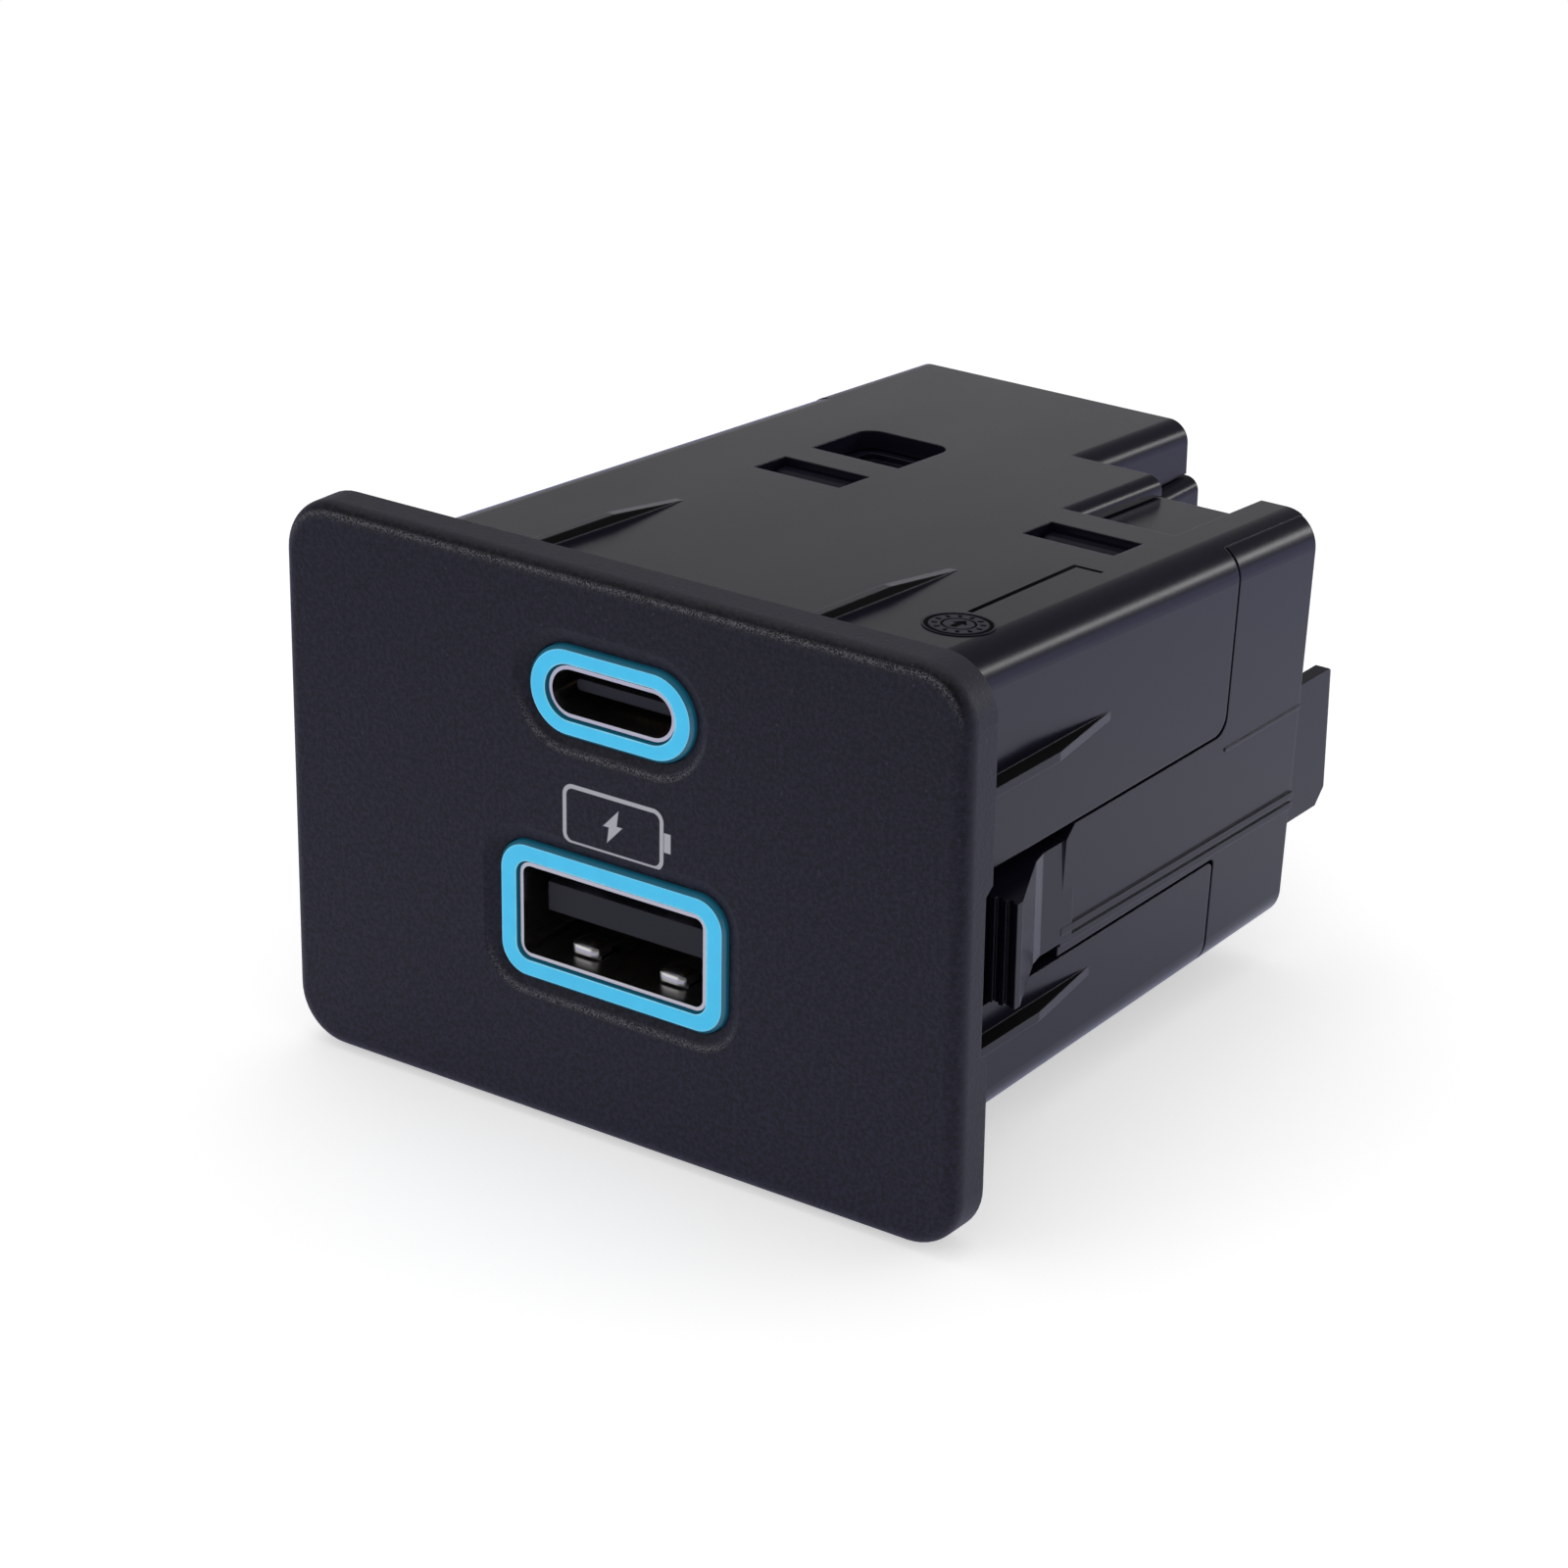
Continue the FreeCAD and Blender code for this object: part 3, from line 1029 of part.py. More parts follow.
# Light sources and surge arrays on the upright board
leds = []
for name, z, half in (("Upper", "c_z", leg_c), ("Lower", "a_z", leg_a)):
    leds += both(box("Led" + name, "port_x + %s - led_tall / 2" % half,
                     "port_x + %s + led_tall / 2" % half, "board_front - led_thick", "board_front",
                     z + " - led_w / 2", z + " + led_w / 2"))
node(group("Leds", leds), "ring_leds")
surge = box("Surge", "surge_x - surge_w / 2", "surge_x + surge_w / 2", board_rear,
            board_rear + " + surge_thick", "surge_z - surge_tall / 2", "surge_z + surge_tall / 2")
node(group("Surges", both(surge)), "surge_arrays")

# Level board and what stands on it
main_blank = box("MainBlank", minus(board_half), board_half, "main_front", "main_rear",
                 "main_top - board_thick", "main_top")
node(cut("MainBoard", main_blank, [group("MainHoles", main_pin_holes + link_main_holes)]), "main_board")

header = box("HeaderBlank", "plug_x - header_half", "plug_x + header_half", header_rear + " - header_len",
             header_rear, "main_top", "header_top")
node(cut("RearHeader", header, [group("HeaderHoles", header_pin_holes)]), "rear_header")

chip = prism("HubChip", "XY",
             [("chip_x - chip_size / 2", "chip_y - chip_size / 2 + chip_tall"),
              ("chip_x - chip_size / 2 + chip_tall", "chip_y - chip_size / 2"),
              ("chip_x + chip_size / 2", "chip_y - chip_size / 2"),
              ("chip_x + chip_size / 2", "chip_y + chip_size / 2"),
              ("chip_x - chip_size / 2", "chip_y + chip_size / 2")], "main_top", "main_top + chip_tall")
node(chip, "hub_chip")

reg_parts = [centred_box("RegBody", "reg_x", "reg_y", "main_top + reg_stand", "reg_w", "reg_len",
                         "reg_tall - reg_stand")]
for place in range(4):
    y = "reg_y + (%d - 1.5) * reg_pitch" % place
    for end in ("-", "+"):
        foot = "reg_x %s (reg_w / 2 + reg_lead)" % end
        body_edge = "reg_x %s (reg_w / 2 - reg_lead_thick)" % end
        bend = "reg_x %s (reg_w / 2 + reg_lead / 2)" % end
        bend_in = "%s %s (-reg_lead_thick)" % (bend, end)
        level = "main_top + reg_tall / 2"
        points = [(foot, "main_top"), (foot, "main_top + reg_lead_thick"),
                  (bend, "main_top + reg_lead_thick"), (bend, level), (body_edge, level),
                  (body_edge, level + " - reg_lead_thick"), (bend_in, level + " - reg_lead_thick"),
                  (bend_in, "main_top")]
        reg_parts.append(prism("RegLead%d%s" % (place, "L" if end == "-" else "R"), "XZ", points,
                               y + " - reg_lead_w / 2", y + " + reg_lead_w / 2"))
node(fuse("Regulator", reg_parts), "regulator_chip")

coil = prism("Coil", "XY",
             [("coil_x - coil_size / 2", "coil_y - coil_size / 2"),
              ("coil_x + coil_size / 2", "coil_y - coil_size / 2"),
              ("coil_x + coil_size / 2", "coil_y + coil_size / 2"),
              ("coil_x - coil_size / 2", "coil_y + coil_size / 2")],
             "main_top", "main_top + coil_tall", [("coil_size / 6", [0, 1, 2, 3])])
node(coil, "power_inductor")

cans = []
for place in (0, 1):
    y = "can_y + %d * can_step" % place
    cans.append(fuse("Can%d" % place, [
        centred_box("CanBase%d" % place, "can_x", y, "main_top", "2 * can_r + can_margin",
                    "2 * can_r + can_margin", "can_base"),
        drum("CanBody%d" % place, "can_x", y, "main_top + can_base / 2", "can_r", "can_tall")]))
node(group("Cans", cans), "bulk_capacitors")

cera = []
cera_row = "chip_y - chip_size / 2 - cera_gap"
for place, (x, y) in enumerate((("chip_x - cera_pitch", cera_row), ("chip_x", cera_row),
                                ("chip_x + cera_pitch", cera_row), ("chip_x - cera_side", "xtal_y"),
                                ("chip_x + cera_side", "xtal_y"),
                                ("reg_x", "reg_y - reg_len / 2 - cera_gap"))):
    cera.append(centred_box("Ceramic%d" % place, x, y, "main_top", "cera_w", "cera_thick", "cera_thick"))
node(group("Ceramics", cera), "ceramic_capacitors")
node(centred_box("Crystal", "chip_x", "xtal_y", "main_top", "xtal_w", "xtal_len", "xtal_tall"), "crystal")
node(centred_box("Fuse", "fuse_x", "fuse_y", "main_top", "fuse_w", "fuse_len", "fuse_tall"), "input_fuse")

# Check and write every piece
doc.recompute()
for item in doc.Objects:
    if "Invalid" in item.State or "Error" in item.State:
        raise RuntimeError("%s: %s" % (item.Name, item.State))
os.makedirs("parts", exist_ok=True)
for item in NODES:
    if item.Shape.isNull() or not item.Shape.isValid():
        raise RuntimeError("%s: bad shape" % item.Label)
    item.Shape.exportStep("parts/%s.step" % item.Label)
    extent = item.Shape.BoundBox
    print("%-20s solids %2d  volume %9.1f  x %.2f %.2f  y %.2f %.2f  z %.2f %.2f" % (
        item.Label, len(item.Shape.Solids), item.Shape.Volume, extent.XMin, extent.XMax,
        extent.YMin, extent.YMax, extent.ZMin, extent.ZMax))
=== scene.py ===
import math

import bmesh
import bpy
import numpy as np
from mathutils import Matrix, Vector


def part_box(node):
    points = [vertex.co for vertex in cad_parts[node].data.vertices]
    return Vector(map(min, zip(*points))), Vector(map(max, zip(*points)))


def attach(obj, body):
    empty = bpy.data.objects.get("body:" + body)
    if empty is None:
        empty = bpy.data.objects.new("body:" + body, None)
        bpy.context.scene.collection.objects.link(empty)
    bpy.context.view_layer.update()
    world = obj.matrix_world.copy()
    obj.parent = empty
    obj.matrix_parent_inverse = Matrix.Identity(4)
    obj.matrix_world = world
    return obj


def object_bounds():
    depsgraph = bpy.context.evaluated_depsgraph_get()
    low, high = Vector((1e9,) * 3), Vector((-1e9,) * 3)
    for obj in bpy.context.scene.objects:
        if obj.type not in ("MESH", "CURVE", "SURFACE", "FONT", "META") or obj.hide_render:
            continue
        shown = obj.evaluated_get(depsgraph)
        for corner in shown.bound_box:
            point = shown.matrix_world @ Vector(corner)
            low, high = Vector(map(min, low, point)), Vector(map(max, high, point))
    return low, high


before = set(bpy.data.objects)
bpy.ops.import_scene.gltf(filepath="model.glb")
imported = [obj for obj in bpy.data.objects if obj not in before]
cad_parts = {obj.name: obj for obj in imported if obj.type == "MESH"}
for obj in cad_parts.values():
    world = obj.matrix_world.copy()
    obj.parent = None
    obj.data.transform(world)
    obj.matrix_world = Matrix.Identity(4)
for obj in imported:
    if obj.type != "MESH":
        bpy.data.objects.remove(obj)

bl_info = {
    "name": "Dashboard USB Socket",
    "version": (1, 0, 0),
    "blender": (4, 5, 0),
    "location": "View3D > Sidebar > USB Socket",
    "description": "Dresses the packed socket module with its finishes, moulded marks and studio",
    "category": "Object",
}

MM = 0.001
CAD_LOW, CAD_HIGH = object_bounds()
PLATE_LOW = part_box("front_shell")[0]

# Levels on the front shell that masks and marks go by, in metres, with the leans of its walls
PLATE_BACK = 0.02 * MM
PLATE_FACE = -3.1 * MM
SKIN_LEVEL = 15.24 * MM
SKIN_SLOPE = 0.063
SIDE_LEVEL = 18.74 * MM
SIDE_LEAN = 0.046
SIGN_CENTRE = (0.3 * MM, 0.0, 2.66 * MM)

# Places of the marks on the top skin, and of a spring's dimple over the shell's floor, in metres
DIAL_CENTRE = (15.24 * MM, 8.97 * MM)
LINE_CORNERS = ((14.42 * MM, 11.34 * MM), (14.09 * MM, 22.93 * MM), (15.92 * MM, 22.97 * MM))
DIMPLE_PLACE = (3.15 * MM, -0.68 * MM, 0.9 * MM)

# Shades that lie over the main colours; those named painted stand in for light and shade
PAINTED_FLANK_SHADOW = (0.002, 0.002, 0.003)
PAINTED_RIM_LIGHT = (0.032, 0.032, 0.046)
PAINTED_LIP_HIGHLIGHT = (0.19, 0.19, 0.21)
WEAR_SHADE = (0.055, 0.055, 0.065)
SPECK_SHADE = (0.16, 0.16, 0.19)
PAINTED_GROOVE_SHADE = (0.0012, 0.0012, 0.002)
PAINTED_RING_EDGE_HIGHLIGHT = (0.5, 0.9, 1.0)

# Colours of the paper's own light, in mirrors and to the camera
MIRRORED_PAPER = (0.64, 0.65, 1.0)
WHITE = (1.0, 1.0, 1.0)


class SocketSizes(bpy.types.PropertyGroup):
    """Sizes of the marks and dimples."""
    dial_radius: bpy.props.FloatProperty(
        name="Dial Radius", description="Radius of the date dial on the top skin",
        default=2.1 * MM, min=0.5 * MM, precision=5, subtype="DISTANCE")
    line_width: bpy.props.FloatProperty(
        name="Line Width", description="Width of the moulded line beside the dial",
        default=0.44 * MM, min=0.05 * MM, precision=5, subtype="DISTANCE")
    line_height: bpy.props.FloatProperty(
        name="Line Height", description="Height of the moulded line over its foot",
        default=0.03 * MM, min=0.0, precision=5, subtype="DISTANCE")
    dimple_width: bpy.props.FloatProperty(
        name="Dimple Width", description="Width of the dimple on a spring finger of the lower port",
        default=2.0 * MM, min=0.1 * MM, precision=5, subtype="DISTANCE")
    dimple_length: bpy.props.FloatProperty(
        name="Dimple Length", description="Length of the dimple along its spring finger",
        default=1.72 * MM, min=0.1 * MM, precision=5, subtype="DISTANCE")
    dimple_height: bpy.props.FloatProperty(
        name="Dimple Height", description="Height of the dimple over its spring finger",
        default=0.26 * MM, min=0.0, precision=5, subtype="DISTANCE")


class SocketStudio(bpy.types.PropertyGroup):
    """Camera, lamps and floor."""
    azimuth: bpy.props.FloatProperty(
        name="Azimuth", description="Camera direction round the socket, from straight in front",
        default=math.radians(35.367), subtype="ANGLE")
    elevation: bpy.props.FloatProperty(
        name="Elevation", description="Camera height above the horizon",
        default=math.radians(23.025), subtype="ANGLE")
    roll: bpy.props.FloatProperty(
        name="Roll", description="Turn of the camera about its own view line",
        default=math.radians(0.762), subtype="ANGLE")
    place: bpy.props.FloatVectorProperty(
        name="Camera Place", description="Where the camera stands",
        default=(0.145634, -0.191321, 0.106391), subtype="TRANSLATION")
    lens: bpy.props.FloatProperty(
        name="Lens", description="Focal length on a sensor 36 mm wide",
        default=105.52, min=10.0, unit="CAMERA")
    floor_drop: bpy.props.FloatProperty(
        name="Floor Drop", description="Gap between the face plate and the floor",
        default=0.0002, min=0.0, subtype="DISTANCE")
    floor_lift: bpy.props.FloatProperty(
        name="Floor Lift", description="Extra brightness of the floor for the camera and in mirrors",
        default=0.5, min=0.0)
    key_power: bpy.props.FloatProperty(
        name="Key Lamp", description="Power of the large lamp over the socket",
        default=0.8, min=0.0, unit="POWER")
    fill_power: bpy.props.FloatProperty(
        name="Fill Lamp", description="Power of the lamp on the plate's side",
        default=0.35, min=0.0, unit="POWER")
    strip_power: bpy.props.FloatProperty(
        name="Strip Lamp", description="Power of the narrow lamp behind the socket",
        default=0.42, min=0.0, unit="POWER")
    room: bpy.props.FloatProperty(
        name="Room Light", description="Strength of the pale room round the socket",
        default=0.5, min=0.0)
    ceiling: bpy.props.FloatProperty(
        name="Ceiling", description="Strength of the room's upper part in reflections",
        default=0.15, min=0.0)


class SocketFinish(bpy.types.PropertyGroup):
    """Colours of the visible materials, and the softness of the body's edges."""
    plate_color: bpy.props.FloatVectorProperty(
        name="Face Plate", description="Grained face plate at its upper edge",
        default=(0.0058, 0.0052, 0.0108), subtype="COLOR", min=0.0, max=1.0)
    # Painted light: the plate's tint at its lower edge is lighter and bluer than at its upper edge
    plate_lit_low_color: bpy.props.FloatVectorProperty(
        name="Face Plate Low", description="Grained face plate at its lower edge",
        default=(0.0082, 0.0075, 0.0185), subtype="COLOR", min=0.0, max=1.0)
    body_color: bpy.props.FloatVectorProperty(
        name="Body", description="Smooth moulded body",
        default=(0.0075, 0.0070, 0.0152), subtype="COLOR", min=0.0, max=1.0)
    ring_color: bpy.props.FloatVectorProperty(
        name="Light Rings", description="Milky light guides",
        default=(0.034, 0.54, 0.88), subtype="COLOR", min=0.0, max=1.0)
    mark_color: bpy.props.FloatVectorProperty(
        name="Printed Sign", description="Printed sign between the ports",
        default=(0.60, 0.60, 0.66), subtype="COLOR", min=0.0, max=1.0)
    edge_radius: bpy.props.FloatProperty(
        name="Edge Radius", description="Radius that the body's sharp edges seem to have",
        default=0.12 * MM, min=0.0, precision=5, subtype="DISTANCE")


# Node helpers

def feed(tree, value, socket):
    """Links a socket to the one given, or writes a plain value into it."""
    if isinstance(value, bpy.types.NodeSocket):
        tree.links.new(value, socket)
    else:
        socket.default_value = value


def maths(tree, operation, *values, clamp=False):
    """Math node fed by sockets or plain numbers; returns its result."""
    node = tree.nodes.new("ShaderNodeMath")
    node.operation = operation
    node.use_clamp = clamp
    for socket, value in zip(node.inputs, values):
        feed(tree, value, socket)
    return node.outputs[0]


def vector_maths(tree, operation, *values):
    """Vector Math node fed by sockets or plain vectors; returns its vector, or the number it gives."""
    node = tree.nodes.new("ShaderNodeVectorMath")
    node.operation = operation
    for socket, value in zip(node.inputs, values):
        feed(tree, value, socket)
    return node.outputs["Value" if operation in {"LENGTH", "DOT_PRODUCT", "DISTANCE"} else "Vector"]


def ramp(tree, value, start, slope):
    """Mask that is nought at start and changes by slope for each unit, kept from nought to one."""
    return maths(tree, "MULTIPLY_ADD", value, slope, -start * slope, clamp=True)


def parts_of(tree, vector):
    """The X, Y and Z sockets of a vector."""
    node = tree.nodes.new("ShaderNodeSeparateXYZ")
    tree.links.new(vector, node.inputs["Vector"])
    return node.outputs


def normal_parts(tree):
    """The X, Y and Z sockets of the surface's own normal."""
    return parts_of(tree, tree.nodes.new("ShaderNodeNewGeometry").outputs["Normal"])


def stretched(tree, vector, scale):
    """Vector scaled by a factor of its own along each axis."""
    node = tree.nodes.new("ShaderNodeMapping")
    node.inputs["Scale"].default_value = scale
    tree.links.new(vector, node.inputs["Vector"])
    return node.outputs["Vector"]


def noise(tree, vector, scale, detail=2.0, roughness=0.5):
    """Noise value at the vector, in features per metre."""
    node = tree.nodes.new("ShaderNodeTexNoise")
    node.inputs["Detail"].default_value = detail
    node.inputs["Roughness"].default_value = roughness
    feed(tree, vector, node.inputs["Vector"])
    feed(tree, scale, node.inputs["Scale"])
    return node.outputs["Fac"]


def blend(tree, factor, first, second, kind="RGBA"):
    """Mix of two colours, or of two numbers where kind is FLOAT; returns its result."""
    node = tree.nodes.new("ShaderNodeMix")
    node.data_type = kind
    tree.links.new(factor, node.inputs["Factor"])
    for label, value in (("A", first), ("B", second)):
        if kind == "RGBA" and not isinstance(value, bpy.types.NodeSocket):
            value = (*value[:3], 1.0)
        feed(tree, value, node.inputs[label])
    return node.outputs["Result"]


def mix_shaders(tree, factor, first, second):
    """Mix Shader node; returns its shader."""
    node = tree.nodes.new("ShaderNodeMixShader")
    for socket, value in zip(node.inputs, (factor, first, second)):
        tree.links.new(value, socket)
    return node.outputs["Shader"]


def bump(tree, shader, height, strength, distance, normal=None):
    """Bump of a height map on the shader's normal, or on a given one."""
    node = tree.nodes.new("ShaderNodeBump")
    node.inputs["Distance"].default_value = distance
    if normal is not None:
        tree.links.new(normal, node.inputs["Normal"])
    feed(tree, strength, node.inputs["Strength"])
    tree.links.new(height, node.inputs["Height"])
    tree.links.new(node.outputs["Normal"], shader.inputs["Normal"])


def tinted(color, factor, lift=0.0):
    """Colour times a factor plus a lift, at most one in each channel."""
    return tuple(min(1.0, channel * factor + lift) for channel in color)


# Shared node groups

def new_group(name, inputs, outputs):
    """Shader node group with named float or vector sockets; returns it with its two ends."""
    group = bpy.data.node_groups.new(name, "ShaderNodeTree")
    for label, kind, value in inputs:
        socket = group.interface.new_socket(label, in_out="INPUT", socket_type=kind)
        if value is not None:
            socket.default_value = value
    for label, kind in outputs:
        group.interface.new_socket(label, in_out="OUTPUT", socket_type=kind)
    return group, group.nodes.new("NodeGroupInput"), group.nodes.new("NodeGroupOutput")


def grain_group():
    """Spark-eroded mould grain: two sizes of noise added as a height, and rare bright specks."""
    group, start, end = new_group(
        "MouldGrain",
        [("Vector", "NodeSocketVector", None),
         ("Scale", "NodeSocketFloat", 4200.0),
         ("Speck Threshold", "NodeSocketFloat", 0.74)],
        [("Height", "NodeSocketFloat"), ("Specks", "NodeSocketFloat")])
    fine_scale, fine_share, speck_scale, speck_gain = 2.7, 0.45, 0.9, 14.0
    vector, scale = start.outputs["Vector"], start.outputs["Scale"]
    coarse = noise(group, vector, scale, detail=3.0, roughness=0.6)
    fine = noise(group, vector, maths(group, "MULTIPLY", scale, fine_scale))
    height = maths(group, "MULTIPLY_ADD", fine, fine_share, coarse)
    speck = noise(group, vector, maths(group, "MULTIPLY", scale, speck_scale), detail=1.0, roughness=0.4)
    above = maths(group, "SUBTRACT", speck, start.outputs["Speck Threshold"])
    specks = maths(group, "MULTIPLY", above, speck_gain, clamp=True)
    group.links.new(height, end.inputs["Height"])
    group.links.new(specks, end.inputs["Specks"])
    return group


def flow_group():
    """Slow change of gloss over a moulded wall: stretched noise plus faint handling marks.

    Roughness is the base plus twice the swing times what the noise stands over its middle.
    """
    along_flow, small_share, middle = 0.35, 0.4, 0.7
    group, start, end = new_group(
        "MouldFlow",
        [("Vector", "NodeSocketVector", None),
         ("Base", "NodeSocketFloat", 0.3),
         ("Swing", "NodeSocketFloat", 0.08)],
        [("Roughness", "NodeSocketFloat"), ("Waves", "NodeSocketFloat")])
    vector = start.outputs["Vector"]
    wide = noise(group, stretched(group, vector, (1.0, along_flow, 1.0)), scale=140.0)
    small = noise(group, vector, scale=900.0, detail=3.0, roughness=0.6)
    mixed = maths(group, "MULTIPLY_ADD", small, small_share, wide)
    centred = maths(group, "SUBTRACT", mixed, middle)
    swing = maths(group, "MULTIPLY", centred, start.outputs["Swing"])
    gloss = maths(group, "MULTIPLY_ADD", swing, 2.0, start.outputs["Base"], clamp=True)
    group.links.new(gloss, end.inputs["Roughness"])
    group.links.new(wide, end.inputs["Waves"])
    return group


def edge_group():
    """Edge mask for rubbed edges, and for painted highlights on the light rings: how far the rounded
    normal turns away from the true one, broken up by noise.

    Puts out the rounded normal too, so that a sharp moulded edge catches the light.
    """
    group, start, end = new_group(
        "EdgeWearAndHighlight",
        [("Vector", "NodeSocketVector", None),
         ("Radius", "NodeSocketFloat", 0.2 * MM),
         ("Gain", "NodeSocketFloat", 5.0)],
        [("WearAndHighlight", "NodeSocketFloat"), ("Normal", "NodeSocketVector")])
    rounded = group.nodes.new("ShaderNodeBevel")
    rounded.samples = 6
    group.links.new(start.outputs["Radius"], rounded.inputs["Radius"])
    surface = group.nodes.new("ShaderNodeNewGeometry")
    agree = vector_maths(group, "DOT_PRODUCT", rounded.outputs["Normal"], surface.outputs["Normal"])
    turned = maths(group, "SUBTRACT", 1.0, agree)
    edge = maths(group, "MULTIPLY", turned, start.outputs["Gain"], clamp=True)
    patches = noise(group, start.outputs["Vector"], scale=1400.0, detail=3.0, roughness=0.6)
    group.links.new(maths(group, "MULTIPLY", edge, patches, clamp=True), end.inputs["WearAndHighlight"])
    group.links.new(rounded.outputs["Normal"], end.inputs["Normal"])
    return group


def sign_group():
    """Printed battery sign with a bolt, in the plane of X and Z, with its sizes in millimetres.

    The outline is the band where the distance to a rounded rectangle is near nought: the length of
    what the absolute place exceeds the inner corner by, less the corner radius. The bolt is a
    triangle, the least of three half plane distances, joined to its own half turn.
    """
    inner_corner, corner_radius, half_stroke = (2.85, 0.0, 1.15), 0.6, 0.16
    knob_centre, knob_half = (3.85, 0.0, 0.0), (0.26, 1.0, 0.62)
    bolt_sides = ((0.0, 1.0, 0.12), (0.727, -0.687, 0.463), (-0.991, 0.133, 0.293))
    sharpness = 18.0
    group, start, end = new_group(
        "BatterySign",
        [("Vector", "NodeSocketVector", None), ("Centre", "NodeSocketVector", (0.0, 0.0, 0.0))],
        [("Mask", "NodeSocketFloat")])
    centred = vector_maths(group, "SUBTRACT", start.outputs["Vector"], start.outputs["Centre"])
    place = vector_maths(group, "MULTIPLY", centred, (1.0 / MM, 0.0, 1.0 / MM))
    past = vector_maths(group, "SUBTRACT", vector_maths(group, "ABSOLUTE", place), inner_corner)
    past = vector_maths(group, "MAXIMUM", past, (0.0, 0.0, 0.0))
    away = maths(group, "SUBTRACT", vector_maths(group, "LENGTH", past), corner_radius)
    outline = maths(group, "SUBTRACT", half_stroke, maths(group, "ABSOLUTE", away))
    knob = vector_maths(group, "ABSOLUTE", vector_maths(group, "SUBTRACT", place, knob_centre))
    knob = parts_of(group, vector_maths(group, "SUBTRACT", knob_half, knob))
    mask = maths(group, "MAXIMUM", outline, maths(group, "MINIMUM", knob["X"], knob["Z"]))
    for turn in (1.0, -1.0):
        turned = vector_maths(group, "MULTIPLY", place, (turn, turn, turn))
        sides = [maths(group, "ADD", vector_maths(group, "DOT_PRODUCT", turned, (x, 0.0, z)), reach)
                 for x, z, reach in bolt_sides]
        corner = maths(group, "MINIMUM", sides[0], maths(group, "MINIMUM", sides[1], sides[2]))
        mask = maths(group, "MAXIMUM", mask, corner)
    group.links.new(maths(group, "MULTIPLY", mask, sharpness, clamp=True), end.inputs["Mask"])
    return group


GROUP_MAKERS = {
    "MouldGrain": grain_group,
    "MouldFlow": flow_group,
    "EdgeWearAndHighlight": edge_group,
    "BatterySign": sign_group,
}


def place_group(tree, name, vector, **values):
    """Shared group as a node of a material, reading Object coordinates; it is made on first use."""
    node = tree.nodes.new("ShaderNodeGroup")
    node.node_tree = bpy.data.node_groups.get(name) or GROUP_MAKERS[name]()
    tree.links.new(vector, node.inputs["Vector"])
    for label, value in values.items():
        node.inputs[label.replace("_", " ")].default_value = value
    return node


# Materials

def new_material(name):
    """Empty Principled material; returns it with its tree, shader and Object coordinates."""
    material = bpy.data.materials.new(name)
    material.use_nodes = True
    tree = material.node_tree
    shader = tree.nodes["Principled BSDF"]
    coordinates = tree.nodes.new("ShaderNodeTexCoord")
    return material, tree, shader, coordinates.outputs["Object"]


def moulded(name, color, roughness, swing, grain, grain_scale=4200.0, edge=0.15 * MM):
    """Moulded plastic: grain of the given strength, a slow change of gloss and paler, softened edges."""
    material, tree, shader, vector = new_material(name)
    flow = place_group(tree, "MouldFlow", vector, Base=roughness, Swing=swing)
    pits = place_group(tree, "MouldGrain", vector, Scale=grain_scale)
    wear_and_highlight = place_group(tree, "EdgeWearAndHighlight", vector, Radius=edge)
    shade = blend(tree, flow.outputs["Waves"], tinted(color, 0.85), tinted(color, 1.15))
    shade = blend(tree, wear_and_highlight.outputs["WearAndHighlight"], shade, tinted(color, 1.5, lift=0.03))
    tree.links.new(shade, shader.inputs["Base Color"])
    tree.links.new(flow.outputs["Roughness"], shader.inputs["Roughness"])
    shader.inputs["Specular IOR Level"].default_value = 0.25
    bump(tree, shader, pits.outputs["Height"], strength=grain, distance=0.03 * MM,
         normal=wear_and_highlight.outputs["Normal"])
    return material


def skin_height(tree, vector):
    """Height over the body's top skin in millimetres: Z plus the skin's slope times Y, less its level."""
    level = vector_maths(tree, "DOT_PRODUCT", vector, (0.0, SKIN_SLOPE / MM, 1.0 / MM))
    return maths(tree, "SUBTRACT", level, SKIN_LEVEL / MM)


def side_reach(tree, place):
    """Way out past the body's leaning side in millimetres: the size of X less the side's own."""
    side = maths(tree, "MULTIPLY_ADD", place["Z"], SIDE_LEAN / MM, SIDE_LEVEL / MM)
    out = maths(tree, "MULTIPLY", maths(tree, "ABSOLUTE", place["X"]), 1.0 / MM)
    return maths(tree, "SUBTRACT", out, side)


def plate_shade(tree, finish, place, grain):
    """The plate's colour: its tint goes from the lower to the upper edge, with painted light making it
    lighter and bluer low down, and darker in the grain's pits.
    """
    mottle = ramp(tree, grain.outputs["Height"], start=0.5882, slope=3.4)
    low, high = [blend(tree, mottle, tinted(tint, 0.45), tinted(tint, 1.9, lift=0.003))
                 for tint in (finish.plate_lit_low_color, finish.plate_color)]
    return blend(tree, ramp(tree, place["Z"], start=-15.625 * MM, slope=32.0), low, high)


def shaded_flank_mask(tree, vector, place, normal):
    """Painted shadow on the flanks of the gussets: what stands clear of a wall of the body and faces along
    that wall.
    """
    flanks = []
    for clear, along in ((skin_height(tree, vector), "X"), (side_reach(tree, place), "Z")):
        standing = ramp(tree, clear, start=0.03, slope=12.0)
        turned = ramp(tree, maths(tree, "ABSOLUTE", normal[along]), start=0.75, slope=4.0)
        flanks.append(maths(tree, "MULTIPLY", standing, turned))
    return maths(tree, "MAXIMUM", *flanks)


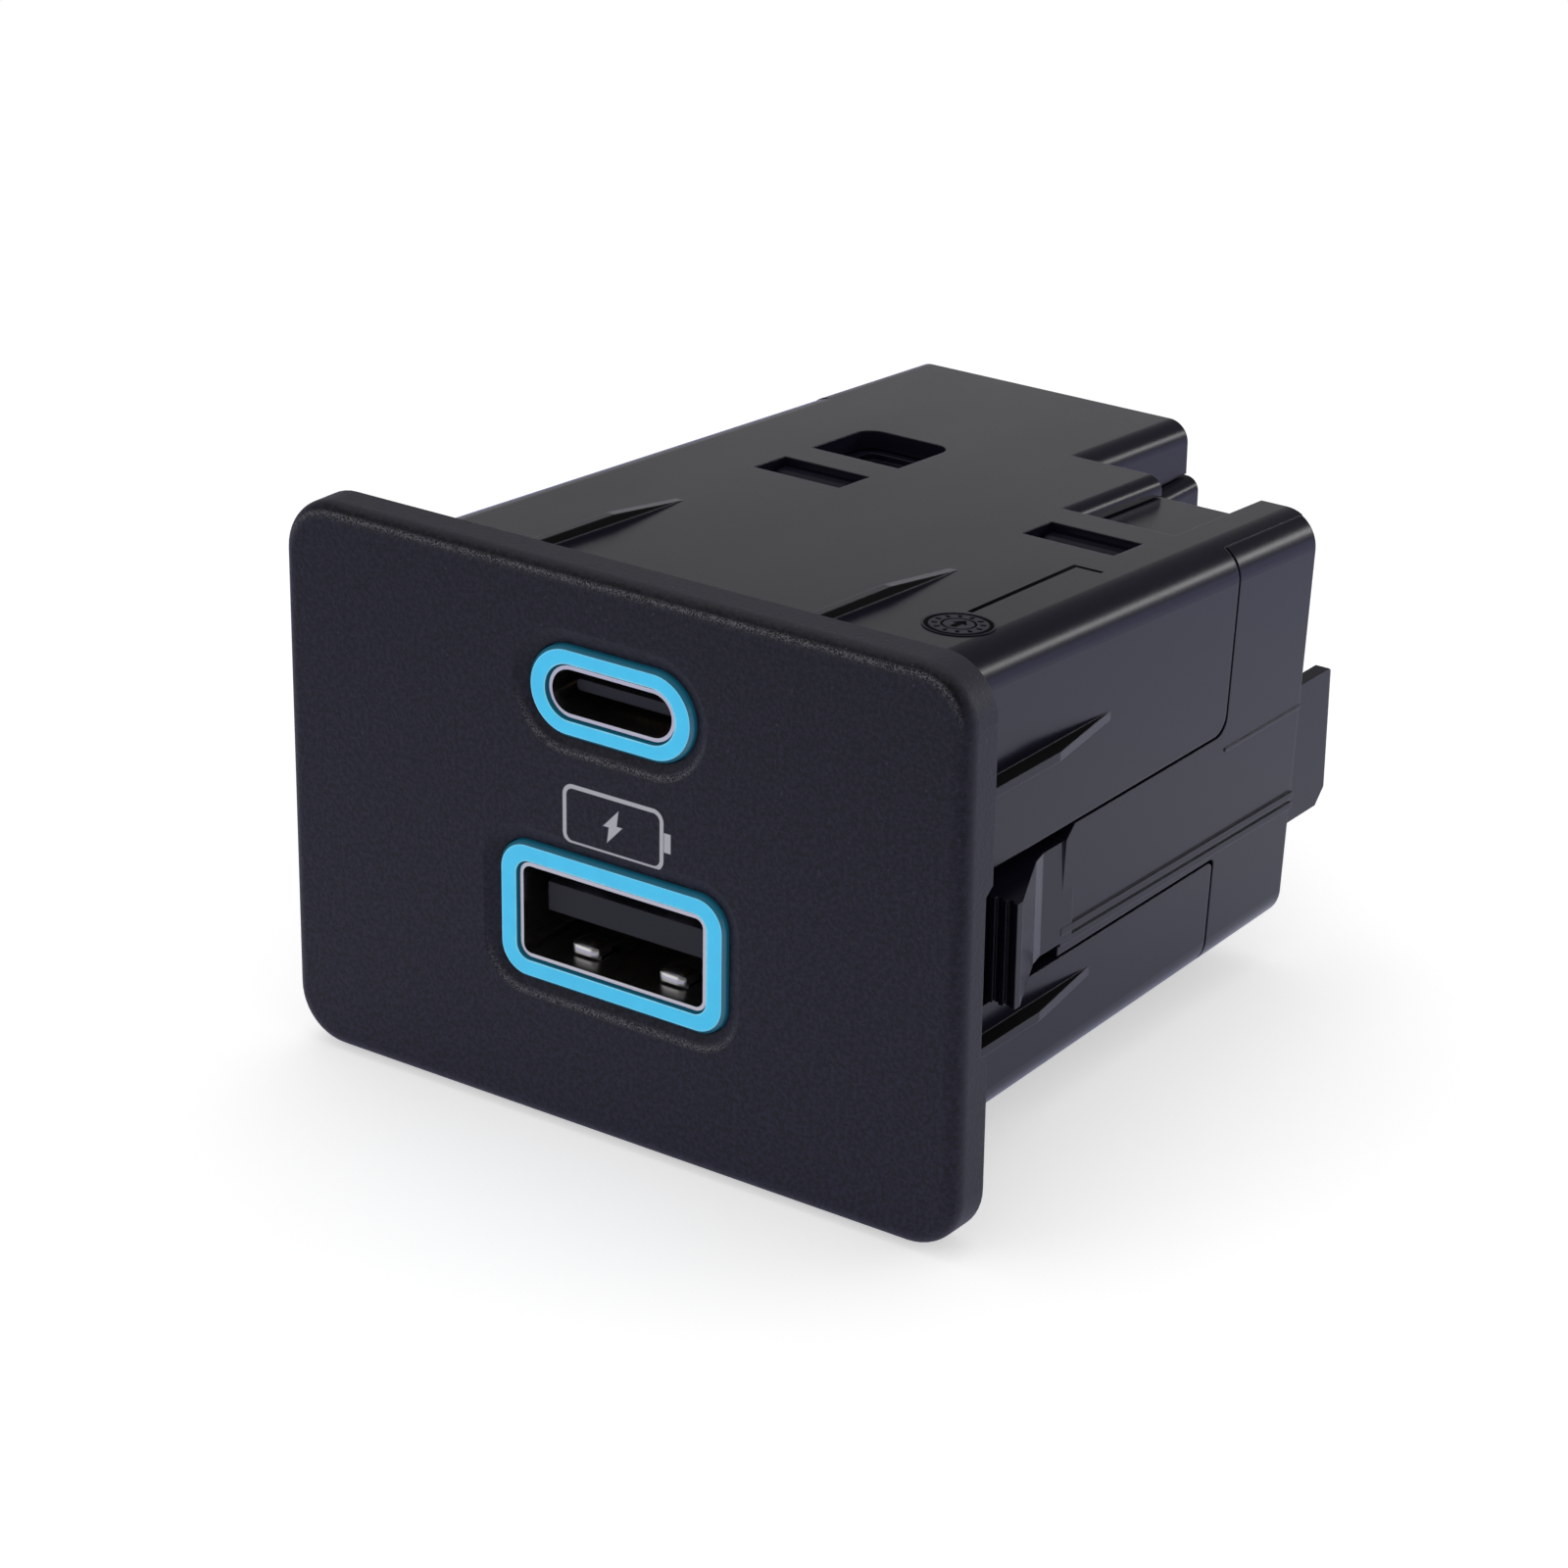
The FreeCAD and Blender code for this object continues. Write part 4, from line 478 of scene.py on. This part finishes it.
def lit_lip_mask(tree, vector, place, normal):
    """Painted highlight, broken by noise into fine grains, on the upward facing lips of the plate near its
    face, such as its upper lip where it turns over into the face.
    """
    depth = maths(tree, "MULTIPLY_ADD", place["Y"], 1.0 / MM, -PLATE_FACE / MM)
    near = ramp(tree, maths(tree, "ABSOLUTE", depth), start=0.1429, slope=-7.0)
    upward = ramp(tree, normal["Z"], start=0.0, slope=2.6)
    fine = noise(tree, vector, scale=11000.0, detail=2.0, roughness=0.6)
    lip_grains = ramp(tree, fine, start=0.44, slope=5.0)
    return maths(tree, "MULTIPLY", maths(tree, "MULTIPLY", near, upward), lip_grains)


def front_material(finish):
    """Grained on the face plate, smooth on the body behind it; the plate is what lies before its back."""
    plate_roughness, flank_extra = 0.52, 0.6
    body_bump, plate_bump = 0.03, 0.84
    material, tree, shader, vector = new_material("FrontShellPlastic")
    place = parts_of(tree, vector)
    normal = normal_parts(tree)
    on_plate = maths(tree, "LESS_THAN", place["Y"], PLATE_BACK)
    on_body = maths(tree, "SUBTRACT", 1.0, on_plate)
    on_face = maths(tree, "LESS_THAN", place["Y"], PLATE_FACE)
    grain = place_group(tree, "MouldGrain", vector, Scale=3400.0, Speck_Threshold=0.73)
    flow = place_group(tree, "MouldFlow", vector, Base=0.243, Swing=0.04)
    wear_and_highlight = place_group(tree, "EdgeWearAndHighlight", vector, Radius=finish.edge_radius, Gain=14.0)
    sign = place_group(tree, "BatterySign", vector, Centre=SIGN_CENTRE)

    # Painted shadow: gusset flanks that face along a wall of the body are darkened, and made rougher
    shaded_flank = maths(tree, "MULTIPLY", shaded_flank_mask(tree, vector, place, normal), on_body)
    # Painted light: faces of the plate that turn away from the front and back, such as its rim, are made
    # lighter
    lit_rim = ramp(tree, maths(tree, "ABSOLUTE", normal["Y"]), start=0.6875, slope=-1.6)
    upper = ramp(tree, place["Z"], start=-11.667 * MM, slope=30.0)
    scattered = maths(tree, "MULTIPLY", grain.outputs["Specks"], maths(tree, "MULTIPLY", on_plate, upper))
    shade = blend(tree, on_plate, finish.body_color, plate_shade(tree, finish, place, grain))
    for mask, share, over in (
            (shaded_flank, 1.0, PAINTED_FLANK_SHADOW),
            (maths(tree, "MULTIPLY", lit_rim, on_plate), 0.9, PAINTED_RIM_LIGHT),
            # Painted highlight on the plate's lip
            (lit_lip_mask(tree, vector, place, normal), 0.9, PAINTED_LIP_HIGHLIGHT),
            (wear_and_highlight.outputs["WearAndHighlight"], 0.5, WEAR_SHADE),
            (scattered, 0.22, SPECK_SHADE),
            (maths(tree, "MULTIPLY", sign.outputs["Mask"], on_face), 1.0, finish.mark_color)):
        shade = blend(tree, maths(tree, "MULTIPLY", mask, share), shade, over)
    tree.links.new(shade, shader.inputs["Base Color"])

    body_roughness = maths(tree, "MULTIPLY_ADD", shaded_flank, flank_extra, flow.outputs["Roughness"])
    roughness = blend(tree, on_plate, body_roughness, plate_roughness, kind="FLOAT")
    tree.links.new(roughness, shader.inputs["Roughness"])
    shader.inputs["Specular IOR Level"].default_value = 0.25
    strength = maths(tree, "MULTIPLY_ADD", on_plate, plate_bump - body_bump, body_bump)
    bump(tree, shader, grain.outputs["Height"], strength=strength, distance=0.04 * MM,
         normal=wear_and_highlight.outputs["Normal"])
    return material


def housing_material(finish):
    """Smooth black moulding of the rear housing."""
    return moulded("HousingPlastic", finish.body_color, roughness=0.24, swing=0.04, grain=0.04,
                   grain_scale=5200.0, edge=finish.edge_radius)


def ring_material(finish):
    """Milky light guide: a faint painted glow, moulding haze, painted highlights on its edges and painted
    shade on the faces that turn from the front.
    """
    material, tree, shader, vector = new_material("LightGuide")
    tint = finish.ring_color
    haze = noise(tree, vector, scale=700.0, detail=3.0, roughness=0.6)
    wear_and_highlight = place_group(tree, "EdgeWearAndHighlight", vector, Radius=0.22 * MM, Gain=9.0)
    front = ramp(tree, normal_parts(tree)["Y"], start=-0.72, slope=-5.0)
    shade = blend(tree, haze, tinted(tint, 0.92), tinted(tint, 1.08))
    # Painted highlight on the ring's edges
    shade = blend(tree, wear_and_highlight.outputs["WearAndHighlight"], shade, PAINTED_RING_EDGE_HIGHLIGHT)
    # Painted shade: faces of the ring that turn away from the front, its chamfers and sides, are darkened
    # to a fifth of its tint
    shade = blend(tree, front, tinted(tint, 0.2), shade)
    tree.links.new(shade, shader.inputs["Base Color"])
    # Painted glow: the shaded and highlighted colour is also given out as light
    tree.links.new(shade, shader.inputs["Emission Color"])
    shader.inputs["Emission Strength"].default_value = 0.3
    shader.inputs["Roughness"].default_value = 0.22
    shader.inputs["Coat Weight"].default_value = 0.4
    shader.inputs["Coat Roughness"].default_value = 0.08
    bump(tree, shader, noise(tree, vector, scale=1500.0), strength=0.04, distance=0.04 * MM,
         normal=wear_and_highlight.outputs["Normal"])
    return material


def mark_material(finish):
    """Moulded marks: dark and dull in their grooves, a painted shade, and paler over them."""
    groove_extra = 0.35
    material, tree, shader, vector = new_material("MouldMarks")
    over = ramp(tree, skin_height(tree, vector), start=0.018, slope=40.0)
    # Painted shade in the grooves of the marks; what stands over them is paler
    shade = blend(tree, over, PAINTED_GROOVE_SHADE, tinted(finish.body_color, 1.6, lift=0.024))
    tree.links.new(shade, shader.inputs["Base Color"])
    flow = place_group(tree, "MouldFlow", vector, Base=0.34, Swing=0.06)
    in_groove = maths(tree, "ADD", flow.outputs["Roughness"], groove_extra)
    roughness = maths(tree, "MULTIPLY_ADD", over, -groove_extra, in_groove)
    tree.links.new(roughness, shader.inputs["Roughness"])
    shader.inputs["Specular IOR Level"].default_value = 0.04
    grain = place_group(tree, "MouldGrain", vector, Scale=6000.0)
    bump(tree, shader, grain.outputs["Height"], strength=0.1, distance=0.02 * MM)
    return material


def metal(name, color, roughness):
    """Plated sheet metal with fine drawing lines along Y."""
    material, tree, shader, vector = new_material(name)
    drawn = stretched(tree, vector, (1.0, 0.06, 1.0))
    lines = noise(tree, drawn, scale=3000.0, detail=3.0, roughness=0.6)
    wear_and_highlight = place_group(tree, "EdgeWearAndHighlight", vector, Radius=0.06 * MM)
    shade = blend(tree, lines, tinted(color, 0.94), tinted(color, 1.04))
    tree.links.new(shade, shader.inputs["Base Color"])
    shader.inputs["Metallic"].default_value = 1.0
    tree.links.new(maths(tree, "MULTIPLY_ADD", lines, 0.08, roughness), shader.inputs["Roughness"])
    bump(tree, shader, lines, strength=0.02, distance=0.01 * MM, normal=wear_and_highlight.outputs["Normal"])
    return material


def board_material():
    """Lacquered circuit board: woven glass under green lacquer, with copper tracks as a brick pattern."""
    material, tree, shader, vector = new_material("BoardLacquer")
    tracks = tree.nodes.new("ShaderNodeTexBrick")
    tracks.inputs["Scale"].default_value = 260.0
    tracks.inputs["Mortar Size"].default_value = 0.06
    tracks.inputs["Color1"].default_value = (0.012, 0.075, 0.035, 1.0)
    tracks.inputs["Color2"].default_value = (0.016, 0.092, 0.043, 1.0)
    tracks.inputs["Mortar"].default_value = (0.04, 0.16, 0.07, 1.0)
    tree.links.new(vector, tracks.inputs["Vector"])
    tree.links.new(tracks.outputs["Color"], shader.inputs["Base Color"])
    shader.inputs["Roughness"].default_value = 0.32
    bump(tree, shader, noise(tree, vector, scale=2600.0), strength=0.15, distance=0.03 * MM)
    return material


# Mesh helpers

def add_object(name, data):
    """New object at the origin, linked to the scene."""
    piece = bpy.data.objects.new(name, data)
    bpy.context.scene.collection.objects.link(piece)
    return piece


def add_mesh(name, points, faces, material, smooth=False):
    """New mesh object at the origin with its place in its mesh."""
    mesh = bpy.data.meshes.new(name)
    mesh.from_pydata(np.asarray(points, float).tolist(), [], np.asarray(faces).tolist())
    mesh.validate()
    mesh.update()
    mesh.materials.append(material)
    if smooth:
        mesh.shade_smooth()
    return add_object(name, mesh)


def add_grid(name, points, material, closed=False):
    """Surface over a grid of points (rows, columns, 3), with its rows joined end to end if closed."""
    rows, columns = points.shape[:2]
    index = np.arange(rows * columns).reshape(rows, columns)
    if closed:
        index = np.vstack([index, index[:1]])
    corners = [index[:-1, :-1], index[1:, :-1], index[1:, 1:], index[:-1, 1:]]
    faces = np.stack(corners, axis=-1).reshape(-1, 4)
    piece = add_mesh(name, points.reshape(-1, 3), faces, material, smooth=True)
    work = bmesh.new()
    work.from_mesh(piece.data)
    bmesh.ops.remove_doubles(work, verts=work.verts, dist=1e-7)
    work.to_mesh(piece.data)
    work.free()
    return piece


def dress(material, *nodes):
    """Gives CAD nodes one material in all their slots."""
    for node in nodes:
        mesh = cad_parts[node].data
        mesh.materials.clear()
        mesh.materials.append(material)


def skin_level(y):
    """Height of the body's top skin at a depth, from the leaning plane of the front shell."""
    return SKIN_LEVEL - SKIN_SLOPE * y


def band(value, middle, sharpness):
    """One near the middle, falling to nought on both sides at the rate of the sharpness."""
    return np.clip(2.0 - np.abs(value - middle) * sharpness, 0.0, 1.0)


def date_dial(name, x, y, radius, material):
    """Moulded date dial: a disc in polar coordinates whose height is a function of radius and angle.

    The grooves in the disc are an outer and an inner ring, twelve tick marks between them,
    which are a power of the cosine of six times the angle, and an arrow across the middle, whose
    head is one and a half times as wide as its way to the tip. The outer edge drops into the skin.
    """
    spokes, rings = 144, 58
    field, groove, skirt = 0.055 * MM, 0.05 * MM, 0.2 * MM
    tail, neck, tip, half_shaft, half_spread = -0.32, 0.02, 0.34, 0.1, 0.75
    turn = np.linspace(0.0, 2.0 * np.pi, spokes, endpoint=False)[:, None]
    out = np.concatenate([np.linspace(0.0, 0.96, rings - 2), [1.0, 1.0]])[None, :]
    outer = band(out, middle=0.88, sharpness=24.0)
    inner = band(out, middle=0.46, sharpness=44.0)
    rays = np.clip(np.cos(6.0 * turn) ** 8 * 3.0 - 0.5, 0.0, 1.0)
    ticks = rays * band(out, middle=0.65, sharpness=18.0)
    across, along = out * np.cos(turn), out * np.sin(turn)
    head = np.clip((tip - along) * half_spread - np.abs(across), -0.02, 0.0) * 50.0 + 1.0
    arrow = np.where(along > neck, head, np.abs(across) < half_shaft)
    arrow = np.where((along > tail) & (along < tip), arrow, 0.0)
    grooves = np.maximum(np.maximum(outer, inner), np.maximum(ticks, arrow))
    height = field - groove * grooves
    height[:, -1] = -skirt
    place_y = y + radius * along
    points = np.stack([x + radius * across, place_y, skin_level(place_y) + height], axis=-1)
    return add_grid(name, points[:, ::-1], material, closed=True)


def spring_dimple(name, x, y, z, half_width, half_length, tall, material):
    """Pressed dimple of a spring finger: a superellipse dome.

    The outline is the superellipse with power four, its angle's cosine and sine to the power
    one half; the height is one less the cube of the way out, and the last ring drops past the sheet.
    """
    spokes, rings, skirt = 48, 15, 0.5 * MM
    turn = np.linspace(0.0, 2.0 * np.pi, spokes, endpoint=False)[:, None]
    out = np.concatenate([np.linspace(0.0, 1.0, rings - 1), [1.0]])[None, :]
    across, along = [np.sign(part) * np.abs(part) ** 0.5 for part in (np.cos(turn), np.sin(turn))]
    height = np.broadcast_to(tall * (1.0 - out ** 3), (spokes, rings)).copy()
    height[:, -1] = -skirt
    points = np.stack([x + half_width * out * across, y + half_length * out * along, z + height], axis=-1)
    return add_grid(name, points[:, ::-1], material, closed=True)


def raised_line(name, corners, width, tall, material):
    """Moulded line: a half round profile carried along the corners over the skin, mitred at each of them.

    Each station moves out along the bisector of its two runs, by half the width over the cosine
    of half their turn, times the profile's place across; its height is the profile's sine.
    """
    profile_points, sunk = 9, 0.015 * MM
    path = np.asarray(corners, float)
    runs = np.diff(path, axis=0)
    runs /= np.linalg.norm(runs, axis=1)[:, None]
    before = np.vstack([runs[:1], runs])
    after = np.vstack([runs, runs[-1:]])
    bisector = before + after
    bisector /= np.linalg.norm(bisector, axis=1)[:, None]
    across = np.column_stack([bisector[:, 1], -bisector[:, 0]])
    across *= width / 2 / np.sum(bisector * before, axis=1)[:, None]
    turn = np.linspace(0.0, np.pi, profile_points)[None, :, None]
    flat = path[:, None, :] + across[:, None, :] * np.cos(turn)
    base = skin_level(flat[..., 1:]) - sunk
    points = np.concatenate([flat, base + np.sin(turn) * tall], axis=-1)
    ends = np.concatenate([flat, base], axis=-1)
    return add_grid(name, np.vstack([ends[:1], points, ends[-1:]]), material)


# Operators

class SOCKET_OT_front_shell(bpy.types.Operator):
    """Face plate, sleeve and hood in their grained and smooth finishes"""
    bl_idname = "socket.front_shell"
    bl_label = "Front Shell"

    def execute(self, context):
        dress(front_material(context.scene.socket_finish), "front_shell")
        return {"FINISHED"}


class SOCKET_OT_rear_housing(bpy.types.Operator):
    """Rear housing with its snap arms, tabs and connector shroud"""
    bl_idname = "socket.rear_housing"
    bl_label = "Rear Housing"

    def execute(self, context):
        dress(housing_material(context.scene.socket_finish), "rear_housing")
        return {"FINISHED"}


class SOCKET_OT_light_rings(bpy.types.Operator):
    """Blue light guides round both ports"""
    bl_idname = "socket.light_rings"
    bl_label = "Light Rings"

    def execute(self, context):
        dress(ring_material(context.scene.socket_finish), "light_ring_upper", "light_ring_lower")
        return {"FINISHED"}


class SOCKET_OT_mould_marks(bpy.types.Operator):
    """Date dial and reference line moulded on the top skin"""
    bl_idname = "socket.mould_marks"
    bl_label = "Mould Marks"

    def execute(self, context):
        material = mark_material(context.scene.socket_finish)
        sizes = context.scene.socket_sizes
        dial = date_dial("date_dial", *DIAL_CENTRE, sizes.dial_radius, material)
        line = raised_line("reference_line", LINE_CORNERS, sizes.line_width, sizes.line_height, material)
        for piece in (dial, line):
            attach(piece, "root")
        return {"FINISHED"}


class SOCKET_OT_ports(bpy.types.Operator):
    """Port shells, tongues and contacts"""
    bl_idname = "socket.ports"
    bl_label = "Ports"

    def execute(self, context):
        nickel = metal("NickelSheet", (0.56, 0.55, 0.54), roughness=0.2)
        gold = metal("ContactGold", (0.83, 0.60, 0.26), roughness=0.22)
        tongue = moulded("TonguePlastic", (0.013, 0.013, 0.018), roughness=0.42, swing=0.05, grain=0.1)
        sizes = context.scene.socket_sizes
        x, y, z = DIMPLE_PLACE
        shell_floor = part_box("usb_a_shell")[0].z
        for side, way in (("left", -1.0), ("right", 1.0)):
            dimple = spring_dimple("spring_dimple_" + side, way * x, y, shell_floor + z,
                                   sizes.dimple_width / 2, sizes.dimple_length / 2,
                                   sizes.dimple_height, nickel)
            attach(dimple, "root")
        dress(nickel, "usb_a_shell", "usb_c_shell")
        dress(tongue, "usb_a_tongue", "usb_c_tongue")
        dress(gold, "usb_a_contacts", "usb_c_contacts")
        return {"FINISHED"}


class SOCKET_OT_electronics(bpy.types.Operator):
    """Boards, chips, headers and pins inside the body"""
    bl_idname = "socket.electronics"
    bl_label = "Electronics"

    def execute(self, context):
        dress(board_material(), "front_board", "main_board")
        dress(moulded("ChipPlastic", (0.02, 0.02, 0.022), roughness=0.55, swing=0.05, grain=0.3),
              "hub_chip", "regulator_chip", "surge_arrays")
        dress(moulded("HeaderPlastic", (0.018, 0.018, 0.018), roughness=0.4, swing=0.05, grain=0.1),
              "link_header", "rear_header")
        dress(metal("TinnedPins", (0.66, 0.65, 0.62), roughness=0.2), "link_pins", "rear_pins")
        dress(moulded("Ferrite", (0.04, 0.04, 0.045), roughness=0.6, swing=0.08, grain=0.5),
              "power_inductor")
        dress(metal("DrawnCans", (0.72, 0.72, 0.74), roughness=0.16), "bulk_capacitors", "crystal")
        dress(moulded("FiredCeramic", (0.36, 0.25, 0.14), roughness=0.45, swing=0.05, grain=0.2),
              "ceramic_capacitors", "input_fuse")
        dress(moulded("LampResin", (0.80, 0.78, 0.60), roughness=0.25, swing=0.03, grain=0.05),
              "ring_leds")
        return {"FINISHED"}


class SOCKET_OT_stage(bpy.types.Operator):
    """White floor, soft lamps and the camera"""
    bl_idname = "socket.stage"
    bl_label = "Studio"

    def execute(self, context):
        studio = context.scene.socket_studio
        self.camera(context, studio)
        self.floor(studio)
        self.lamps(studio)
        self.room(context, studio)
        context.scene.view_settings.view_transform = "Standard"
        return {"FINISHED"}

    def camera(self, context, studio):
        """Camera at its place, with its axes worked out from azimuth, elevation and roll."""
        across, up = studio.azimuth, studio.elevation
        ahead = Vector((-math.sin(across) * math.cos(up), math.cos(across) * math.cos(up), -math.sin(up)))
        level = Vector((math.cos(across), math.sin(across), 0.0))
        upright = level.cross(ahead)
        right = math.cos(studio.roll) * level + math.sin(studio.roll) * upright
        top = -math.sin(studio.roll) * level + math.cos(studio.roll) * upright
        turn = Matrix((right, top, -ahead)).transposed().to_4x4()
        data = bpy.data.cameras.new("StudioCamera")
        data.lens = studio.lens
        data.sensor_width = 36.0
        data.clip_start = 0.005
        data.clip_end = 10.0
        camera = add_object("StudioCamera", data)
        camera.matrix_world = Matrix.Translation(Vector(studio.place)) @ turn
        context.scene.camera = camera

    def floor(self, studio):
        """Large sheet of paper just under the face plate, plain white away from the socket."""
        level = PLATE_LOW.z - studio.floor_drop
        reach = 3.0
        middle = ((CAD_LOW.x + CAD_HIGH.x) / 2, (CAD_LOW.y + CAD_HIGH.y) / 2, level)
        material, tree, shader, vector = new_material("FloorPaper")
        fibres = noise(tree, vector, scale=40.0)
        sheet_color = blend(tree, fibres, (0.80, 0.80, 0.80), (0.82, 0.82, 0.82))
        tree.links.new(sheet_color, shader.inputs["Base Color"])
        shader.inputs["Roughness"].default_value = 0.9
        shader.inputs["Specular IOR Level"].default_value = 0.1
        ray = tree.nodes.new("ShaderNodeLightPath").outputs
        seen = maths(tree, "MAXIMUM", ray["Is Camera Ray"], ray["Is Glossy Ray"])
        seen = maths(tree, "MAXIMUM", seen, ray["Is Transmission Ray"])
        glow = blend(tree, ray["Is Camera Ray"], MIRRORED_PAPER, WHITE)
        lift, white = [tree.nodes.new("ShaderNodeEmission") for _ in range(2)]
        for light in (lift, white):
            tree.links.new(glow, light.inputs["Color"])
        lift.inputs["Strength"].default_value = studio.floor_lift
        paper = tree.nodes.new("ShaderNodeAddShader")
        tree.links.new(shader.outputs["BSDF"], paper.inputs[0])
        tree.links.new(lift.outputs["Emission"], paper.inputs[1])
        beyond = ramp(tree, vector_maths(tree, "DISTANCE", vector, middle), start=0.05, slope=12.0)
        bright = mix_shaders(tree, beyond, paper.outputs["Shader"], white.outputs["Emission"])
        joined = mix_shaders(tree, seen, shader.outputs["BSDF"], bright)
        tree.links.new(joined, tree.nodes["Material Output"].inputs["Surface"])
        corners = [(x * reach, y * reach, level) for x, y in ((-1, -1), (1, -1), (1, 1), (-1, 1))]
        sheet = add_mesh("Floor", corners, [(0, 1, 2, 3)], material)

    def lamps(self, studio):
        """Soft boxes aimed at the socket's middle."""
        target = (CAD_LOW + CAD_HIGH) / 2
        for name, place, size, power in (
                ("KeyLamp", (-0.12, 0.10, 0.55), (0.5, 0.5), studio.key_power),
                ("FillLamp", (-0.35, -0.45, 0.20), (0.4, 0.4), studio.fill_power),
                ("StripLamp", (0.31, 0.40, 0.12), (0.40, 0.055), studio.strip_power)):
            data = bpy.data.lights.new(name, "AREA")
            data.shape = "RECTANGLE"
            data.size, data.size_y = size
            data.energy = power
            lamp = add_object(name, data)
            lamp.location = place
            lamp.rotation_euler = (target - Vector(place)).to_track_quat("-Z", "Y").to_euler()

    def room(self, context, studio):
        """White to the camera, and in reflections dark at the horizon, white over it and dim higher up."""
        world = bpy.data.worlds.new("StudioRoom")
        context.scene.world = world
        world.use_nodes = True
        tree = world.node_tree
        paint = tree.nodes["Background"]
        paint.inputs["Color"].default_value = (*WHITE, 1.0)
        ray = tree.nodes.new("ShaderNodeLightPath").outputs
        up = parts_of(tree, tree.nodes.new("ShaderNodeTexCoord").outputs["Generated"])["Z"]
        higher = ramp(tree, up, start=0.0675, slope=4.0)
        risen = ramp(tree, up, start=0.025, slope=12.0)
        dimmed = maths(tree, "MULTIPLY_ADD", higher, studio.ceiling - 1.0, 1.0)
        mirrored = maths(tree, "MULTIPLY", dimmed, risen)
        mirror = maths(tree, "MAXIMUM", ray["Is Glossy Ray"], ray["Is Transmission Ray"])
        plain = maths(tree, "MULTIPLY_ADD", ray["Is Camera Ray"], 1.0 - studio.room, studio.room)
        tree.links.new(blend(tree, mirror, plain, mirrored, kind="FLOAT"), paint.inputs["Strength"])


class SOCKET_PT_sidebar(bpy.types.Panel):
    """Buttons for every step of the socket"""
    bl_label = "USB Socket"
    bl_idname = "SOCKET_PT_sidebar"
    bl_space_type = "VIEW_3D"
    bl_region_type = "UI"
    bl_category = "USB Socket"

    def draw(self, context):
        column = self.layout.column(align=True)
        for step in STEPS:
            column.operator(step.bl_idname)
        scene = context.scene
        for group in (scene.socket_sizes, scene.socket_finish, scene.socket_studio):
            box = self.layout.box()
            for item in group.bl_rna.properties:
                if not item.is_readonly and item.identifier != "name":
                    box.prop(group, item.identifier)


STEPS = (
    SOCKET_OT_front_shell,
    SOCKET_OT_rear_housing,
    SOCKET_OT_light_rings,
    SOCKET_OT_mould_marks,
    SOCKET_OT_ports,
    SOCKET_OT_electronics,
    SOCKET_OT_stage,
)
CLASSES = (SocketSizes, SocketFinish, SocketStudio, *STEPS, SOCKET_PT_sidebar)


def register():
    for item in CLASSES:
        bpy.utils.register_class(item)
    bpy.types.Scene.socket_sizes = bpy.props.PointerProperty(type=SocketSizes)
    bpy.types.Scene.socket_finish = bpy.props.PointerProperty(type=SocketFinish)
    bpy.types.Scene.socket_studio = bpy.props.PointerProperty(type=SocketStudio)


def unregister():
    del bpy.types.Scene.socket_studio
    del bpy.types.Scene.socket_finish
    del bpy.types.Scene.socket_sizes
    for item in reversed(CLASSES):
        bpy.utils.unregister_class(item)


def main():
    register()
    for step in STEPS:
        family, name = step.bl_idname.split(".")
        getattr(getattr(bpy.ops, family), name)()


if __name__ == "__main__":
    main()
